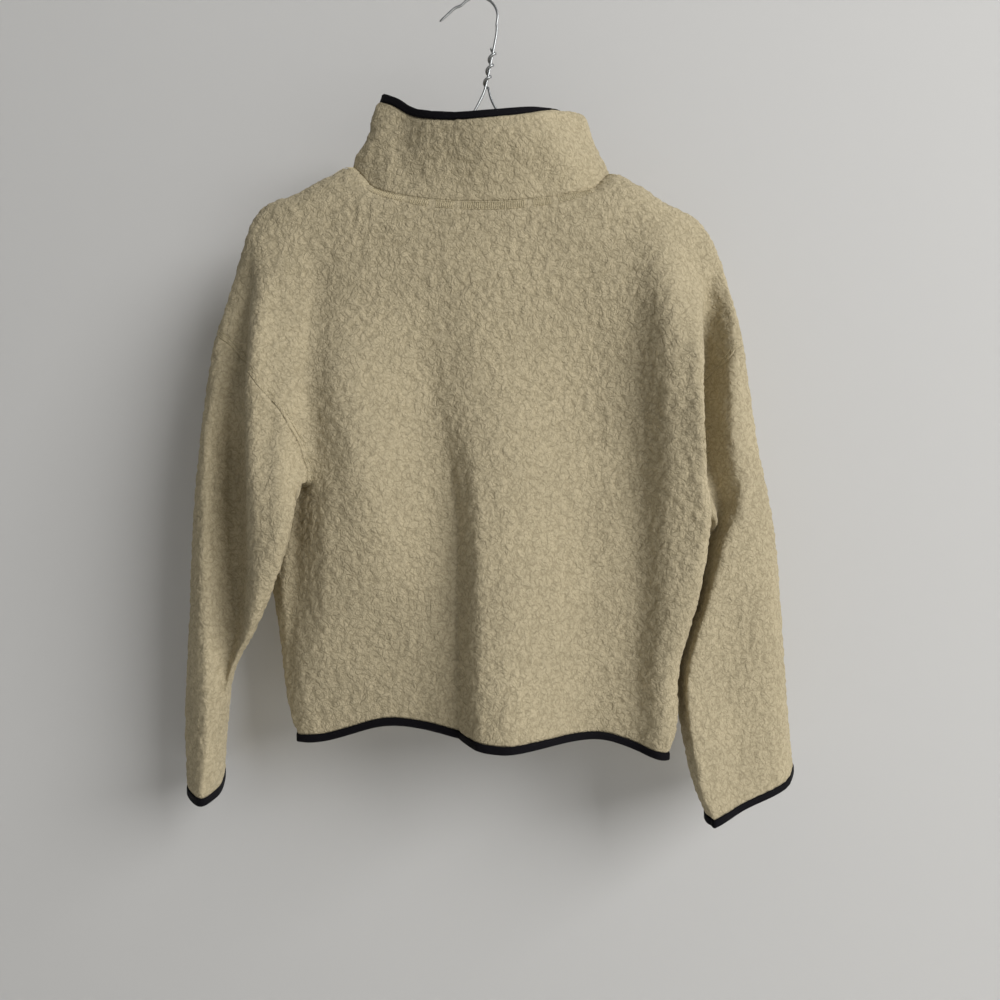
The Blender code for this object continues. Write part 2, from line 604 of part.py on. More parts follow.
def thicken(sheet, normals, short):
    """Give the sheet its wall inwards, and set its edges back from the seams.

    Each face of its rim is cut across from the corner that the next piece's rim is cut from,
    so that the two rims stay clear of each other where they twist.
    """
    outward = {vertex.index: normals[place_key(vertex.co)] for vertex in sheet.verts}
    outer = {vertex.index: vertex.co.copy() for vertex in sheet.verts}
    setback = {}
    for vertex in sheet.verts:
        if vertex.is_boundary:
            middle = Vector()
            for face in vertex.link_faces:
                middle += face.calc_center_median() - vertex.co
            setback[vertex.index] = middle.normalized() * short
    tag = sheet.verts.layers.int.new("point")
    for vertex in sheet.verts:
        vertex[tag] = vertex.index
    bmesh.ops.solidify(sheet, geom=sheet.faces[:], thickness=WALL)
    inner = {vertex for vertex in sheet.verts
             if (vertex.co - outer[vertex[tag]]).length > WALL / 4}
    for vertex in sheet.verts:
        point = vertex[tag]
        vertex.co = outer[point] + setback.get(point, Vector())
        if vertex in inner:
            vertex.co -= outward[point] * WALL
    for face in sheet.faces[:]:
        ends = [vertex for vertex in face.verts if vertex not in inner]
        if len(ends) == 2:
            start = max(ends, key=lambda vertex: tuple(outer[vertex[tag]]))
            across, = [vertex for vertex in face.verts
                       if vertex in inner and vertex[tag] != start[tag]]
            bmesh.utils.face_split(face, start, across)
    bmesh.ops.recalc_face_normals(sheet, faces=sheet.faces[:])


def material(name, colour, roughness, metallic=0.0):
    """Principled material with the part's colour, roughness and metallic value."""
    made = bpy.data.materials.new(name)
    made.use_nodes = True
    shader = made.node_tree.nodes["Principled BSDF"]
    shader.inputs["Base Color"].default_value = (*colour, 1.0)
    shader.inputs["Roughness"].default_value = roughness
    shader.inputs["Metallic"].default_value = metallic
    made.diffuse_color = (*colour, 1.0)
    return made


def add_solid(collection, name, sheet, finish):
    """Object of a finished piece, in metres."""
    bmesh.ops.triangulate(sheet, faces=sheet.faces[:], quad_method="SHORT_EDGE")
    bmesh.ops.scale(sheet, vec=(METRES,) * 3, verts=sheet.verts[:])
    mesh = bpy.data.meshes.new(name)
    sheet.to_mesh(mesh)
    sheet.free()
    mesh.shade_smooth()
    mesh.set_sharp_from_angle(angle=RIM_ANGLE)
    mesh.materials.append(finish)
    piece = bpy.data.objects.new(name, mesh)
    collection.objects.link(piece)
    return piece


# ================================================================ hanger
def in_plane(places):
    """Points of the hanger's plane from their x and z."""
    return [Vector((x, 0, z)) for x, z in places]


def under(ridge):
    """The ridge of a shoulder, lowered to where the wire lies beneath the cloth."""
    points = spread(ridge, SHOULDER_COLUMNS)
    highest = max(point.z for point in points)
    lowered = []
    for k, point in enumerate(points):
        ahead = points[min(k + 1, len(points) - 1)] - points[max(k - 1, 0)]
        normal = Vector((-ahead.z, 0, ahead.x)).normalized()
        if normal.z > 0:
            normal = -normal
        drop = WALL + WIRE_RADIUS + SEAT_GAP
        if point.z == highest:
            drop += NECK_CLEARANCE
        lowered.append(point + normal * drop)
    return lowered


def coil():
    """Points of the wire's tail as it climbs round the shank."""
    start = TWIST_FOOT + TWIST_START
    steps = round(TWIST_TURNS * TWIST_POINTS)
    radius = 2 * WIRE_RADIUS + TWIST_GAP
    points = []
    for step in range(steps + 1):
        z = start + (TWIST_TOP - start) * step / steps
        x = column(SHANK, 1, 0, z)
        angle = 2 * math.pi * step / TWIST_POINTS
        points.append(Vector((x + radius * math.cos(angle), radius * math.sin(angle), z)))
    return points


def hanger_route():
    """Middle of the one wire, from the hook's tip round the frame to the end of its coil."""
    centre = Vector((HOOK_X, 0, WIRE_RADIUS - HOOK_RADIUS))
    angles = [math.radians(HOOK_START - HOOK_STEP * step) for step in range(HOOK_STEPS + 1)]
    bend = [centre + Vector((math.cos(a), 0, math.sin(a))) * HOOK_RADIUS for a in angles]
    left = [point for point in reversed(under(LEFT_SHOULDER)) if point.x > FRAME_LEFT[0]]
    right = [point for point in under(RIGHT_SHOULDER) if point.x < FRAME_RIGHT[0] - 1]
    low_left = [(FRAME_LEFT[0] + x, FRAME_LEFT[1] + z) for x, z in FRAME_BEND]
    low_right = [(FRAME_RIGHT[0] - x, FRAME_RIGHT[1] + z) for x, z in reversed(FRAME_BEND)]
    return (in_plane(HOOK_TIP) + bend + in_plane(SHANK) + in_plane(NECK_LEFT) + left
            + in_plane(low_left + low_right) + right + in_plane(NECK_RIGHT) + coil())


def add_hanger(collection, finish):
    """The whole hanger as one bent wire."""
    data = bpy.data.curves.new("hanger", "CURVE")
    data.dimensions = "3D"
    data.bevel_depth = WIRE_RADIUS * METRES
    data.bevel_resolution = 2
    data.use_fill_caps = True
    route = hanger_route()
    line = data.splines.new("POLY")
    line.points.add(len(route) - 1)
    for point, place in zip(line.points, route):
        point.co = (*(place * METRES), 1.0)
    data.materials.append(finish)
    piece = bpy.data.objects.new("hanger", data)
    collection.objects.link(piece)
    return piece


# ================================================================ the whole part
def main():
    for old in list(bpy.data.objects):
        bpy.data.objects.remove(old)
    collection = bpy.data.collections.new(COLLECTION)
    bpy.context.scene.collection.children.link(collection)

    fleece = material("sherpa_fleece", (0.50, 0.43, 0.29), 0.95)
    tape = material("knitted_binding", (0.008, 0.007, 0.012), 0.8)
    steel = material("galvanised_wire", (0.55, 0.55, 0.54), 0.35, 1.0)

    panels = {side: panel_points(side) for side in ("back", "front")}
    sleeves = {hand: sleeve_points(hand) for hand in ("left", "right")}
    loop = neck_loop(panels)
    hem = [panels["back"][i, 0] for i in range(HEM_COLUMNS + 1)]
    hem += [panels["front"][i, 0] for i in range(HEM_COLUMNS - 1, 0, -1)]
    around = 2 * ARMHOLE_ROWS + UNDERARM_COLUMNS
    grids = {
        "back_panel": (panels["back"], False, fleece),
        "front_panel": (panels["front"], True, fleece),
        "sleeve_left": (sleeves["left"], False, fleece),
        "sleeve_right": (sleeves["right"], True, fleece),
        "collar": (collar_points(loop, COLLAR_STATIONS), False, fleece),
        "collar_binding": (collar_points(loop, BINDING_STATIONS), False, tape),
        "hem_binding": (strip_below(hem), False, tape),
        "cuff_binding_left": (strip_below([sleeves["left"][i, 0] for i in range(around)]),
                              False, tape),
        "cuff_binding_right": (strip_below([sleeves["right"][i, 0] for i in range(around)]),
                               True, tape),
    }
    sheets = {name: sheet_mesh(grid, flip) for name, (grid, flip, _) in grids.items()}
    normals = shared_normals(sheets)
    for name, sheet in sheets.items():
        finish = grids[name][-1]
        thicken(sheet, normals, BINDING_SETBACK if finish == tape else SEAM_SETBACK)
        add_solid(collection, name, sheet, finish)
    add_hanger(collection, steel)


main()
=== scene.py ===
"""Sherpa fleece pullover on a bent wire hanger: its cloth, sewing, bindings and wire.

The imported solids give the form. Their outer faces are welded into one smooth sheet, so that
neighbouring pieces meet without a step, and the sheet is cut back into the pieces that a maker
sewed. Each piece then gets its wall, its curly pile and the marks of its seams. Lengths are in
metres, as in the frame, unless a name ends in _mm or its class says mm. The garment's back
faces -Y.
"""

import logging
import math
from collections.abc import Iterable
from dataclasses import dataclass, field
from enum import Enum

import bmesh
import bpy
import numpy as np
from mathutils import Matrix, Vector, kdtree, noise
from mathutils.bvhtree import BVHTree


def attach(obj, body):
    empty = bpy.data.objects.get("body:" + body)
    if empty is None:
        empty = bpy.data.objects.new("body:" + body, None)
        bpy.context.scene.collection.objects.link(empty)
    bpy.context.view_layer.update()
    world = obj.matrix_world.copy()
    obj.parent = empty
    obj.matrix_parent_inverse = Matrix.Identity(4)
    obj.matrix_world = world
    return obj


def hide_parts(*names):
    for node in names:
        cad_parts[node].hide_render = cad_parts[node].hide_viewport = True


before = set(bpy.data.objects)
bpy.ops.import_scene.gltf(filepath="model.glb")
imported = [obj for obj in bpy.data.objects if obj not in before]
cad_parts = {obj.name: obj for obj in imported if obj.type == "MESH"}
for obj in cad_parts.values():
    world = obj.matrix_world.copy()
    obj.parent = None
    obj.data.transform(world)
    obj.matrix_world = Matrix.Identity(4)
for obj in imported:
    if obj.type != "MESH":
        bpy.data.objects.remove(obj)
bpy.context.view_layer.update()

log = logging.getLogger("pullover")

MM = 0.001
SAME = 0.02 * MM                # corners of a solid's loose triangles this close are one
NOISE_SPAN = (0.35, 0.65)       # most of a noise texture's values lie in here
TINY = 1e-9                     # the least distance that is divided by


# ------------------------------------------------------------------ colours and nodes
def linear(code: str) -> tuple[float, float, float, float]:
    """Turn an sRGB hex colour into linear red, green, blue and alpha.

    Args:
        code: colour such as "#C8BA96".

    Returns:
        Linear values with an alpha of 1.
    """
    parts = [int(code[i:i + 2], 16) / 255 for i in (1, 3, 5)]
    red, green, blue = (p / 12.92 if p <= 0.04045 else ((p + 0.055) / 1.055) ** 2.4
                        for p in parts)
    return red, green, blue, 1.0


def add_node(tree: bpy.types.NodeTree, kind: str, sockets: dict[str | int, object],
             **settings: object) -> bpy.types.Node:
    """Add a shader node with its settings, and set or link its inputs.

    Args:
        tree: tree that gets the node.
        kind: the node's type, such as "ShaderNodeBump".
        sockets: value or output socket for each input, by name or number.
        settings: properties of the node itself.

    Returns:
        The new node.
    """
    node = tree.nodes.new(kind)
    for name, value in settings.items():
        setattr(node, name, value)
    for name, value in sockets.items():
        if isinstance(value, bpy.types.NodeSocket):
            tree.links.new(value, node.inputs[name])
        else:
            node.inputs[name].default_value = value
    return node


def add_noise(tree: bpy.types.NodeTree, place: bpy.types.NodeSocket, size_mm: float,
              detail: float, winding: float = 0.0) -> bpy.types.Node:
    """Add a noise texture.

    Args:
        tree: tree that gets the texture.
        place: the point that it is looked up at.
        size_mm: how far apart its clouds lie.
        detail: how many finer noises lie on the first.
        winding: how much the clouds are drawn out.

    Returns:
        The texture's node.
    """
    return add_node(tree, "ShaderNodeTexNoise",
                    {"Vector": place, "Scale": 1 / (size_mm * MM), "Detail": detail,
                     "Distortion": winding})


def two_tones(tree: bpy.types.NodeTree, level: bpy.types.NodeSocket, low: str,
              high: str) -> bpy.types.NodeSocket:
    """Mix two colours.

    Args:
        tree: tree that gets the mix.
        level: the share of the second colour.
        low: the first colour's sRGB hex code.
        high: the second's.

    Returns:
        The mixed colour.
    """
    return add_node(tree, "ShaderNodeMix",
                    {"Factor": level, 6: linear(low), 7: linear(high)},
                    data_type="RGBA").outputs[2]


def new_material(name: str, values: dict[str, object]) -> tuple[
        bpy.types.Material, bpy.types.NodeTree, bpy.types.Node, bpy.types.NodeSocket]:
    """Make a material whose textures lie still on the object.

    Args:
        name: name of the material.
        values: what the shader's inputs are set to, by name.

    Returns:
        The material, its node tree, its Principled shader and the point on the object.
    """
    made = bpy.data.materials.new(name)
    made.use_nodes = True
    tree = made.node_tree
    shader = tree.nodes["Principled BSDF"]
    for socket, value in values.items():
        shader.inputs[socket].default_value = value
    place = add_node(tree, "ShaderNodeTexCoord", {}).outputs["Object"]
    return made, tree, shader, place


def link_object(name: str, data: bpy.types.ID) -> bpy.types.Object:
    """Make an object of a mesh, light or camera, and link it to the scene.

    Args:
        name: the object's name.
        data: what it shows.

    Returns:
        The object.
    """
    made = bpy.data.objects.new(name, data)
    bpy.context.scene.collection.objects.link(made)
    return made


# ------------------------------------------------------------------ finishes
@dataclass(frozen=True)
class SherpaPile:
    """Brushed polyester boucle, tumbled into curls: matt and soft-edged, with painted shade
    between the curls and painted light on their sunlit sides.
    """

    sunlit_curl: str = "#B9AD91"            # painted light: the sunlit side of a curl
    root: str = "#9D9278"           # painted shade down in a crevice
    curl_mm: float = 5.2            # how far apart the winding crevices run
    small_mm: float = 2.9           # and the finest ones
    crevice: float = 0.17           # how wide a crevice opens, in the noise's own height
    winding: float = 0.35           # how much the crevices wind
    knot_mm: float = 4.5            # width of the curls that are drawn into knots
    knot_rim: float = 0.26          # share of a knot over which its side rises
    fibre_mm: float = 1.3           # wisps of single fibres, drawn coarser than they are
    patch_mm: float = 60.0          # where the pile is combed one way or the other,
    combed: tuple[float, float] = (0.95, 1.03)      # and how dark and light that makes it
    tone: tuple[tuple[str, float], ...] = (         # what the painted shade and light go by, and how much
        ("large", 0.30), ("small", 0.20), ("knot", 0.20), ("lump", 0.15), ("fibre", 0.15))
    tone_span: tuple[float, float] = (0.18, 0.80)   # all root colour as painted crevice shade, and all sunlit curl colour
    relief: tuple[tuple[str, float], ...] = (       # and the same for the bump
        ("large", 0.50), ("small", 0.28), ("knot", 0.30), ("fibre", 0.22))
    relief_mm: float = 0.85
    relief_strength: float = 0.7
    fuzz: float = 0.12              # how much light the loose fibre ends catch
    fuzz_colour: str = "#E9DFC6"

    def make(self) -> bpy.types.Material:
        """Make the pile's material, which reads the height of its lumps from the mesh and paints
        shade into the hollows and light onto the crowns.

        Returns:
            The material.
        """
        material, tree, shader, place = new_material(
            "sherpa_polyester_boucle",
            {"Roughness": 0.95, "Specular IOR Level": 0.15, "Sheen Weight": self.fuzz,
             "Sheen Roughness": 0.6, "Sheen Tint": linear(self.fuzz_colour)})
        # the mesh's lump heights, which the colour follows as painted shade in the hollows
        lump = add_node(tree, "ShaderNodeAttribute", {}, attribute_name="pile")
        fibre = add_noise(tree, place, self.fibre_mm, detail=1.0)
        patch = add_noise(tree, place, self.patch_mm, detail=2.0)
        heights = {"large": self.curls(tree, place, self.curl_mm),
                   "small": self.curls(tree, place, self.small_mm),
                   "knot": self.knots(tree, place),
                   "lump": lump.outputs["Fac"],
                   "fibre": fibre.outputs["Fac"]}
        # painted shade and light: low curls, knots and lumps take the root colour as shade in the
        # crevices, high ones the sunlit curl colour
        level = add_node(tree, "ShaderNodeMapRange",
                         {"Value": self.mixed(tree, heights, self.tone),
                          "From Min": self.tone_span[0], "From Max": self.tone_span[1]})
        combed = add_node(tree, "ShaderNodeMapRange",
                          {"Value": patch.outputs["Fac"], "From Min": NOISE_SPAN[0],
                           "From Max": NOISE_SPAN[1], "To Min": self.combed[0],
                           "To Max": self.combed[1]})
        toned = add_node(tree, "ShaderNodeHueSaturation",
                         {"Color": two_tones(tree, level.outputs[0], self.root, self.sunlit_curl),
                          "Value": combed.outputs[0]})
        bump = add_node(tree, "ShaderNodeBump",
                        {"Height": self.mixed(tree, heights, self.relief),
                         "Strength": self.relief_strength, "Distance": self.relief_mm * MM})
        tree.links.new(toned.outputs[0], shader.inputs["Base Color"])
        tree.links.new(bump.outputs[0], shader.inputs["Normal"])
        return material

    def curls(self, tree: bpy.types.NodeTree, place: bpy.types.NodeSocket,
              size_mm: float) -> bpy.types.NodeSocket:
        """Draw soft curls parted by crevices that wind between them.

        Args:
            tree: the material's nodes.
            place: the point on the cloth.
            size_mm: how far apart the crevices run.

        Returns:
            A height that is 0 in a crevice and 1 off it.
        """
        wave = add_noise(tree, place, size_mm, detail=0.0, winding=self.winding)
        off = add_node(tree, "ShaderNodeMath",
                       {0: wave.outputs["Fac"], 1: sum(NOISE_SPAN) / 2}, operation="SUBTRACT")
        away = add_node(tree, "ShaderNodeMath", {0: off.outputs[0]}, operation="ABSOLUTE")
        return add_node(tree, "ShaderNodeMapRange",
                        {"Value": away.outputs[0], "From Max": self.crevice},
                        interpolation_type="SMOOTHSTEP").outputs[0]

    def knots(self, tree: bpy.types.NodeTree,
              place: bpy.types.NodeSocket) -> bpy.types.NodeSocket:
        """Draw the tight round curls between the winding ones.

        Args:
            tree: the material's nodes.
            place: the point on the cloth.

        Returns:
            A height that is 0 round each knot and 1 on it.
        """
        wander = add_noise(tree, place, self.knot_mm, detail=0.0)
        drawn = add_node(tree, "ShaderNodeVectorMath",
                         {0: wander.outputs["Color"], 1: (self.knot_mm * MM,) * 3, 2: place},
                         operation="MULTIPLY_ADD")
        cells = add_node(tree, "ShaderNodeTexVoronoi",
                         {"Vector": drawn.outputs[0], "Scale": 1 / (self.knot_mm * MM)},
                         feature="DISTANCE_TO_EDGE")
        return add_node(tree, "ShaderNodeMapRange",
                        {"Value": cells.outputs["Distance"], "From Max": self.knot_rim},
                        interpolation_type="SMOOTHSTEP").outputs[0]

    @staticmethod
    def mixed(tree: bpy.types.NodeTree, heights: dict[str, bpy.types.NodeSocket],
              weights: tuple[tuple[str, float], ...]) -> bpy.types.NodeSocket:
        """Add up heights, each times its weight.

        Args:
            tree: the material's nodes.
            heights: the pile's heights by name.
            weights: the names to add, each with its weight.

        Returns:
            The sum.
        """
        total = None
        for name, weight in weights:
            part = add_node(tree, "ShaderNodeMath", {0: heights[name], 1: weight},
                            operation="MULTIPLY").outputs[0]
            total = part if total is None else add_node(
                tree, "ShaderNodeMath", {0: total, 1: part}, operation="ADD").outputs[0]
        return total


@dataclass(frozen=True)
class KnittedTape:
    """Polyester binding tape, fine jersey knit, dyed almost black: takes almost no light."""

    crown: str = "#0D0B12"          # on a loop
    dye: str = "#050408"            # and painted shade down between the loops
    loop_mm: float = 0.9            # drawn coarser than the knit is
    relief_mm: float = 0.25

    def make(self) -> bpy.types.Material:
        """Make the tape's material, with the small loops of its knit and painted shade between
        them.

        Returns:
            The material.
        """
        material, tree, shader, place = new_material(
            "knitted_polyester_tape", {"Roughness": 0.85, "Specular IOR Level": 0.15})
        loops = add_node(tree, "ShaderNodeTexVoronoi",
                         {"Vector": place, "Scale": 1 / (self.loop_mm * MM)})
        # painted shade: the colour darkens from each loop's crown into the gaps between loops
        colour = two_tones(tree, loops.outputs["Distance"], self.crown, self.dye)
        bump = add_node(tree, "ShaderNodeBump",
                        {"Height": loops.outputs["Distance"], "Strength": 0.5,
                         "Distance": self.relief_mm * MM}, invert=True)
        tree.links.new(colour, shader.inputs["Base Color"])
        tree.links.new(bump.outputs[0], shader.inputs["Normal"])
        return material


@dataclass(frozen=True)
class SewingThread:
    """Spun polyester thread: a little smoother and paler than the pile it lies on."""

    dye: str = "#CFC4A4"
    shade: str = "#B3A683"
    ply_mm: float = 0.5

    def make(self) -> bpy.types.Material:
        """Make the thread's material, mottled by the twist of its plies.

        Returns:
            The material.
        """
        material, tree, shader, place = new_material("spun_polyester_thread",
                                                     {"Roughness": 0.75})
        twist = add_noise(tree, place, self.ply_mm, detail=1.0)
        colour = two_tones(tree, twist.outputs["Fac"], self.shade, self.dye)
        tree.links.new(colour, shader.inputs["Base Color"])
        return material


@dataclass(frozen=True)
class GalvanisedWire:
    """Drawn steel wire with a thin zinc coat: a dull grey metal with cloudy spangle."""

    zinc: str = "#B7B9BA"
    dulled: str = "#8D9092"
    spangle_mm: float = 3.0
    gloss: tuple[float, float] = (0.32, 0.5)        # roughness from bright zinc to dulled

    def make(self) -> bpy.types.Material:
        """Make the wire's material, with the zinc's cloudy patches in colour and gloss.

        Returns:
            The material.
        """
        material, tree, shader, place = new_material("galvanised_steel_wire",
                                                     {"Metallic": 1.0})
        spangle = add_noise(tree, place, self.spangle_mm, detail=3.0)
        colour = two_tones(tree, spangle.outputs["Fac"], self.dulled, self.zinc)
        gloss = add_node(tree, "ShaderNodeMapRange",
                         {"Value": spangle.outputs["Fac"], "To Min": self.gloss[0],
                          "To Max": self.gloss[1]})
        tree.links.new(colour, shader.inputs["Base Color"])
        tree.links.new(gloss.outputs[0], shader.inputs["Roughness"])
        return material


@dataclass(frozen=True)
class RolledPaint:
    """Matt emulsion put on with a roller: a pale wall with a faint stipple."""

    name: str
    colour: str
    stipple_mm: float = 2.5
    relief_mm: float = 0.2

    def make(self, one_sided: bool = False) -> bpy.types.Material:
        """Make the paint.

        Args:
            one_sided: whether the surface is clear when it is seen from behind.

        Returns:
            The material.
        """
        material, tree, shader, place = new_material(
            self.name, {"Base Color": linear(self.colour), "Roughness": 0.9})
        stipple = add_noise(tree, place, self.stipple_mm, detail=2.0)
        bump = add_node(tree, "ShaderNodeBump",
                        {"Height": stipple.outputs["Fac"], "Strength": 0.15,
                         "Distance": self.relief_mm * MM})
        tree.links.new(bump.outputs[0], shader.inputs["Normal"])
        if one_sided:
            behind = add_node(tree, "ShaderNodeNewGeometry", {}).outputs["Backfacing"]
            clear = add_node(tree, "ShaderNodeBsdfTransparent", {}).outputs[0]
            mixed = add_node(tree, "ShaderNodeMixShader",
                             {0: behind, 1: shader.outputs[0], 2: clear})
            tree.links.new(mixed.outputs[0], tree.nodes["Material Output"].inputs["Surface"])
        return material


# ------------------------------------------------------------------ helpers
def smoothstep(low: float, high: float, value: float) -> float:
    """Return 0 below low, 1 above high and a smooth step between them."""
    t = min(max((value - low) / (high - low), 0.0), 1.0)
    return t * t * (3 - 2 * t)


def tree_of(points: list[Vector]) -> kdtree.KDTree:
    """Make a search tree of points.

    Args:
        points: the points.

    Returns:
        The tree, ready to search.
    """
    tree = kdtree.KDTree(len(points))
    for number, point in enumerate(points):
        tree.insert(point, number)
    tree.balance()
    return tree


FIRST_LOOK = 0.1                # share of a wall's reach from which the far side is looked for
LONGEST_LOOK = 3.0              # how many times that reach the look goes
CLEAR_SHARE = 0.42              # share of the way to the far side that a wall may take


def room(ground: BVHTree, place: Vector, inward: Vector, wanted: float) -> float:
    """Find how far a wall can reach inward before it meets the far side of a tight turn.

    Args:
        ground: the sheet that the wall grows from.
        place: point of the sheet.
        inward: direction of the wall there.
        wanted: the full reach.

    Returns:
        The reach, at most a little under half of the way to the far side.
    """
    start = FIRST_LOOK * wanted
    far = ground.ray_cast(place + inward * start, inward, LONGEST_LOOK * wanted)[3]
    return wanted if far is None else min(wanted, CLEAR_SHARE * (far + start))


def place_piece(name: str, mesh: bmesh.types.BMesh, finish: bpy.types.Material, slot: str,
                *nodes: str) -> bpy.types.Object:
    """Make a finished piece that rides on the frame and stands for its solids.

    Args:
        name: the piece's name.
        mesh: its mesh, with its place in it, which is used up.
        finish: its material.
        slot: not used.
        nodes: the CAD nodes that it replaces.

    Returns:
        The linked object.
    """
    data = bpy.data.meshes.new(name)
    mesh.to_mesh(data)
    mesh.free()
    data.shade_smooth()
    data.materials.clear()
    data.materials.append(finish)
    piece = link_object(name, data)
    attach(piece, "root")
    if nodes:
        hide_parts(*nodes)
    log.info("%s: %d faces", name, len(data.polygons))
    return piece


# ------------------------------------------------------------------ the cut pieces
class Cloth(Enum):
    """What a cut piece is made of."""

    FLEECE = "fleece"
    TAPE = "binding"


@dataclass(frozen=True)
class Cut:
    """One cut piece: its solid, its cloth and the flat size that it was cut to."""

    node: str
    cloth: Cloth
    flat: tuple[float, float]
    area: float | None = None
    axis: tuple[float, float, float] = (0.0, 0.01, -0.45)     # its outer face looks away from here
    tube: bool = False                                        # or from its own middle

    @property
    def label(self) -> str:
        """Name of the finished piece."""
        return f"cloth_{self.node}"


CUTS = (
    Cut("back_panel", Cloth.FLEECE, (0.56, 0.56), 0.235),
    Cut("front_panel", Cloth.FLEECE, (0.56, 0.56), 0.235),
    Cut("sleeve_left", Cloth.FLEECE, (0.30, 0.46), 0.108, tube=True),
    Cut("sleeve_right", Cloth.FLEECE, (0.30, 0.46), 0.103, tube=True),
    Cut("collar", Cloth.FLEECE, (0.56, 0.08), tube=True),
    Cut("collar_binding", Cloth.TAPE, (0.45, 0.014), tube=True),
    Cut("hem_binding", Cloth.TAPE, (0.96, 0.014), tube=True),
    Cut("cuff_binding_left", Cloth.TAPE, (0.25, 0.014), tube=True),
    Cut("cuff_binding_right", Cloth.TAPE, (0.30, 0.014), tube=True),
)


class Seam(Enum):
    """Kinds of seam that a piece's edge can be."""

    NECK = "below the collar"
    COLLAR = "above the neck seam"
    ARMHOLE = "body side of the armhole"
    SLEEVE_HEAD = "sleeve side of the armhole"
    SHOULDER = "back side of the shoulder seam"
    SIDE = "plain seam"
    BOUND = "under a binding"
    FREE = "raw edge"


@dataclass(frozen=True)
class SeamPress:
    """How sewing flattens the pile beside a seam, in mm away from it."""

    flat: float                                             # flattened up to here
    reach: float                                            # and full again from here
    grooves: tuple[tuple[float, float, float], ...] = ()    # place, depth, half width
    covered: float = 0.0                                    # how far the pile hides it in places


PRESS = {
    Seam.NECK: SeamPress(6.6, 10.0, ((0.0, 0.2, 2.4), (7.2, 0.7, 1.8))),
    Seam.COLLAR: SeamPress(0.3, 3.5, ((0.0, 0.2, 2.4),)),
    Seam.ARMHOLE: SeamPress(4.6, 7.5, ((0.0, 0.4, 1.8), (5.0, 0.8, 1.7)), covered=0.9),
    Seam.SLEEVE_HEAD: SeamPress(0.3, 3.0, ((0.0, 0.4, 1.8),), covered=0.9),
    Seam.SHOULDER: SeamPress(5.6, 8.5, ((0.0, 0.6, 2.0), (6.0, 1.2, 2.0))),
    Seam.SIDE: SeamPress(0.4, 4.0, ((0.0, 0.9, 2.6),)),
    Seam.BOUND: SeamPress(0.2, 5.0, ((0.0, 0.6, 1.8),)),
    Seam.FREE: SeamPress(0.0, 1.0),
}
SHOULDER_FOOT = -0.337          # the panels' common edge is the shoulder above this, in metres


@dataclass
class Sheet:
    """One piece of the smooth garment, still without a wall."""

    cut: Cut
    mesh: bmesh.types.BMesh         # with the cloth's outward direction in a layer


@dataclass(frozen=True)
class Fold:
    """A fold of the back that is sharper than its solid carries it.

    Its rows run from the top down: height, place across, and how far the cloth stands out there,
    all in mm. The reaches say how far across it fades, towards -X and towards +X. A keen fold
    comes to an edge at its line, and a soft one is rounded.
    """

    rows: tuple[tuple[float, float, float], ...]
    left: float
    right: float
    keen: bool = False
    only: str = ""              # the one piece that it is in, where it stops at that piece

    def lift(self, place: Vector) -> float:
        """Find how far the fold stands out at a place.

        Args:
            place: point of the cloth, in metres.

        Returns:
            The height, in mm, which is negative in a valley.
        """
        down = -place.z / MM
        depths = [-row[0] for row in self.rows]
        off = place.x / MM - np.interp(down, depths, [row[1] for row in self.rows])
        share = abs(off) / (self.right if off > 0 else self.left)
        if share >= 1:
            return 0.0
        shape = (1 - share) ** 2 if self.keen else 1 - smoothstep(0, 1, share)
        return shape * np.interp(down, depths, [row[2] for row in self.rows])


@dataclass(frozen=True)
class Swell:
    """A fullness round a point, in mm, which fades to nothing at its radius."""

    middle: tuple[float, float, float]
    radius: float
    height: float
    way: tuple[float, float, float] | None = None       # the cloth's outward one if none is given

    def move(self, place: Vector, outward: Vector) -> Vector:
        """Find how the cloth moves at a place.

        Args:
            place: point of the cloth, in metres.
            outward: the cloth's outward direction there.

        Returns:
            The move, in mm.
        """
        away = (place / MM - Vector(self.middle)).length / self.radius
        way = outward if self.way is None else Vector(self.way).normalized()
        return way * (self.height * (1 - smoothstep(0, 1, away)))


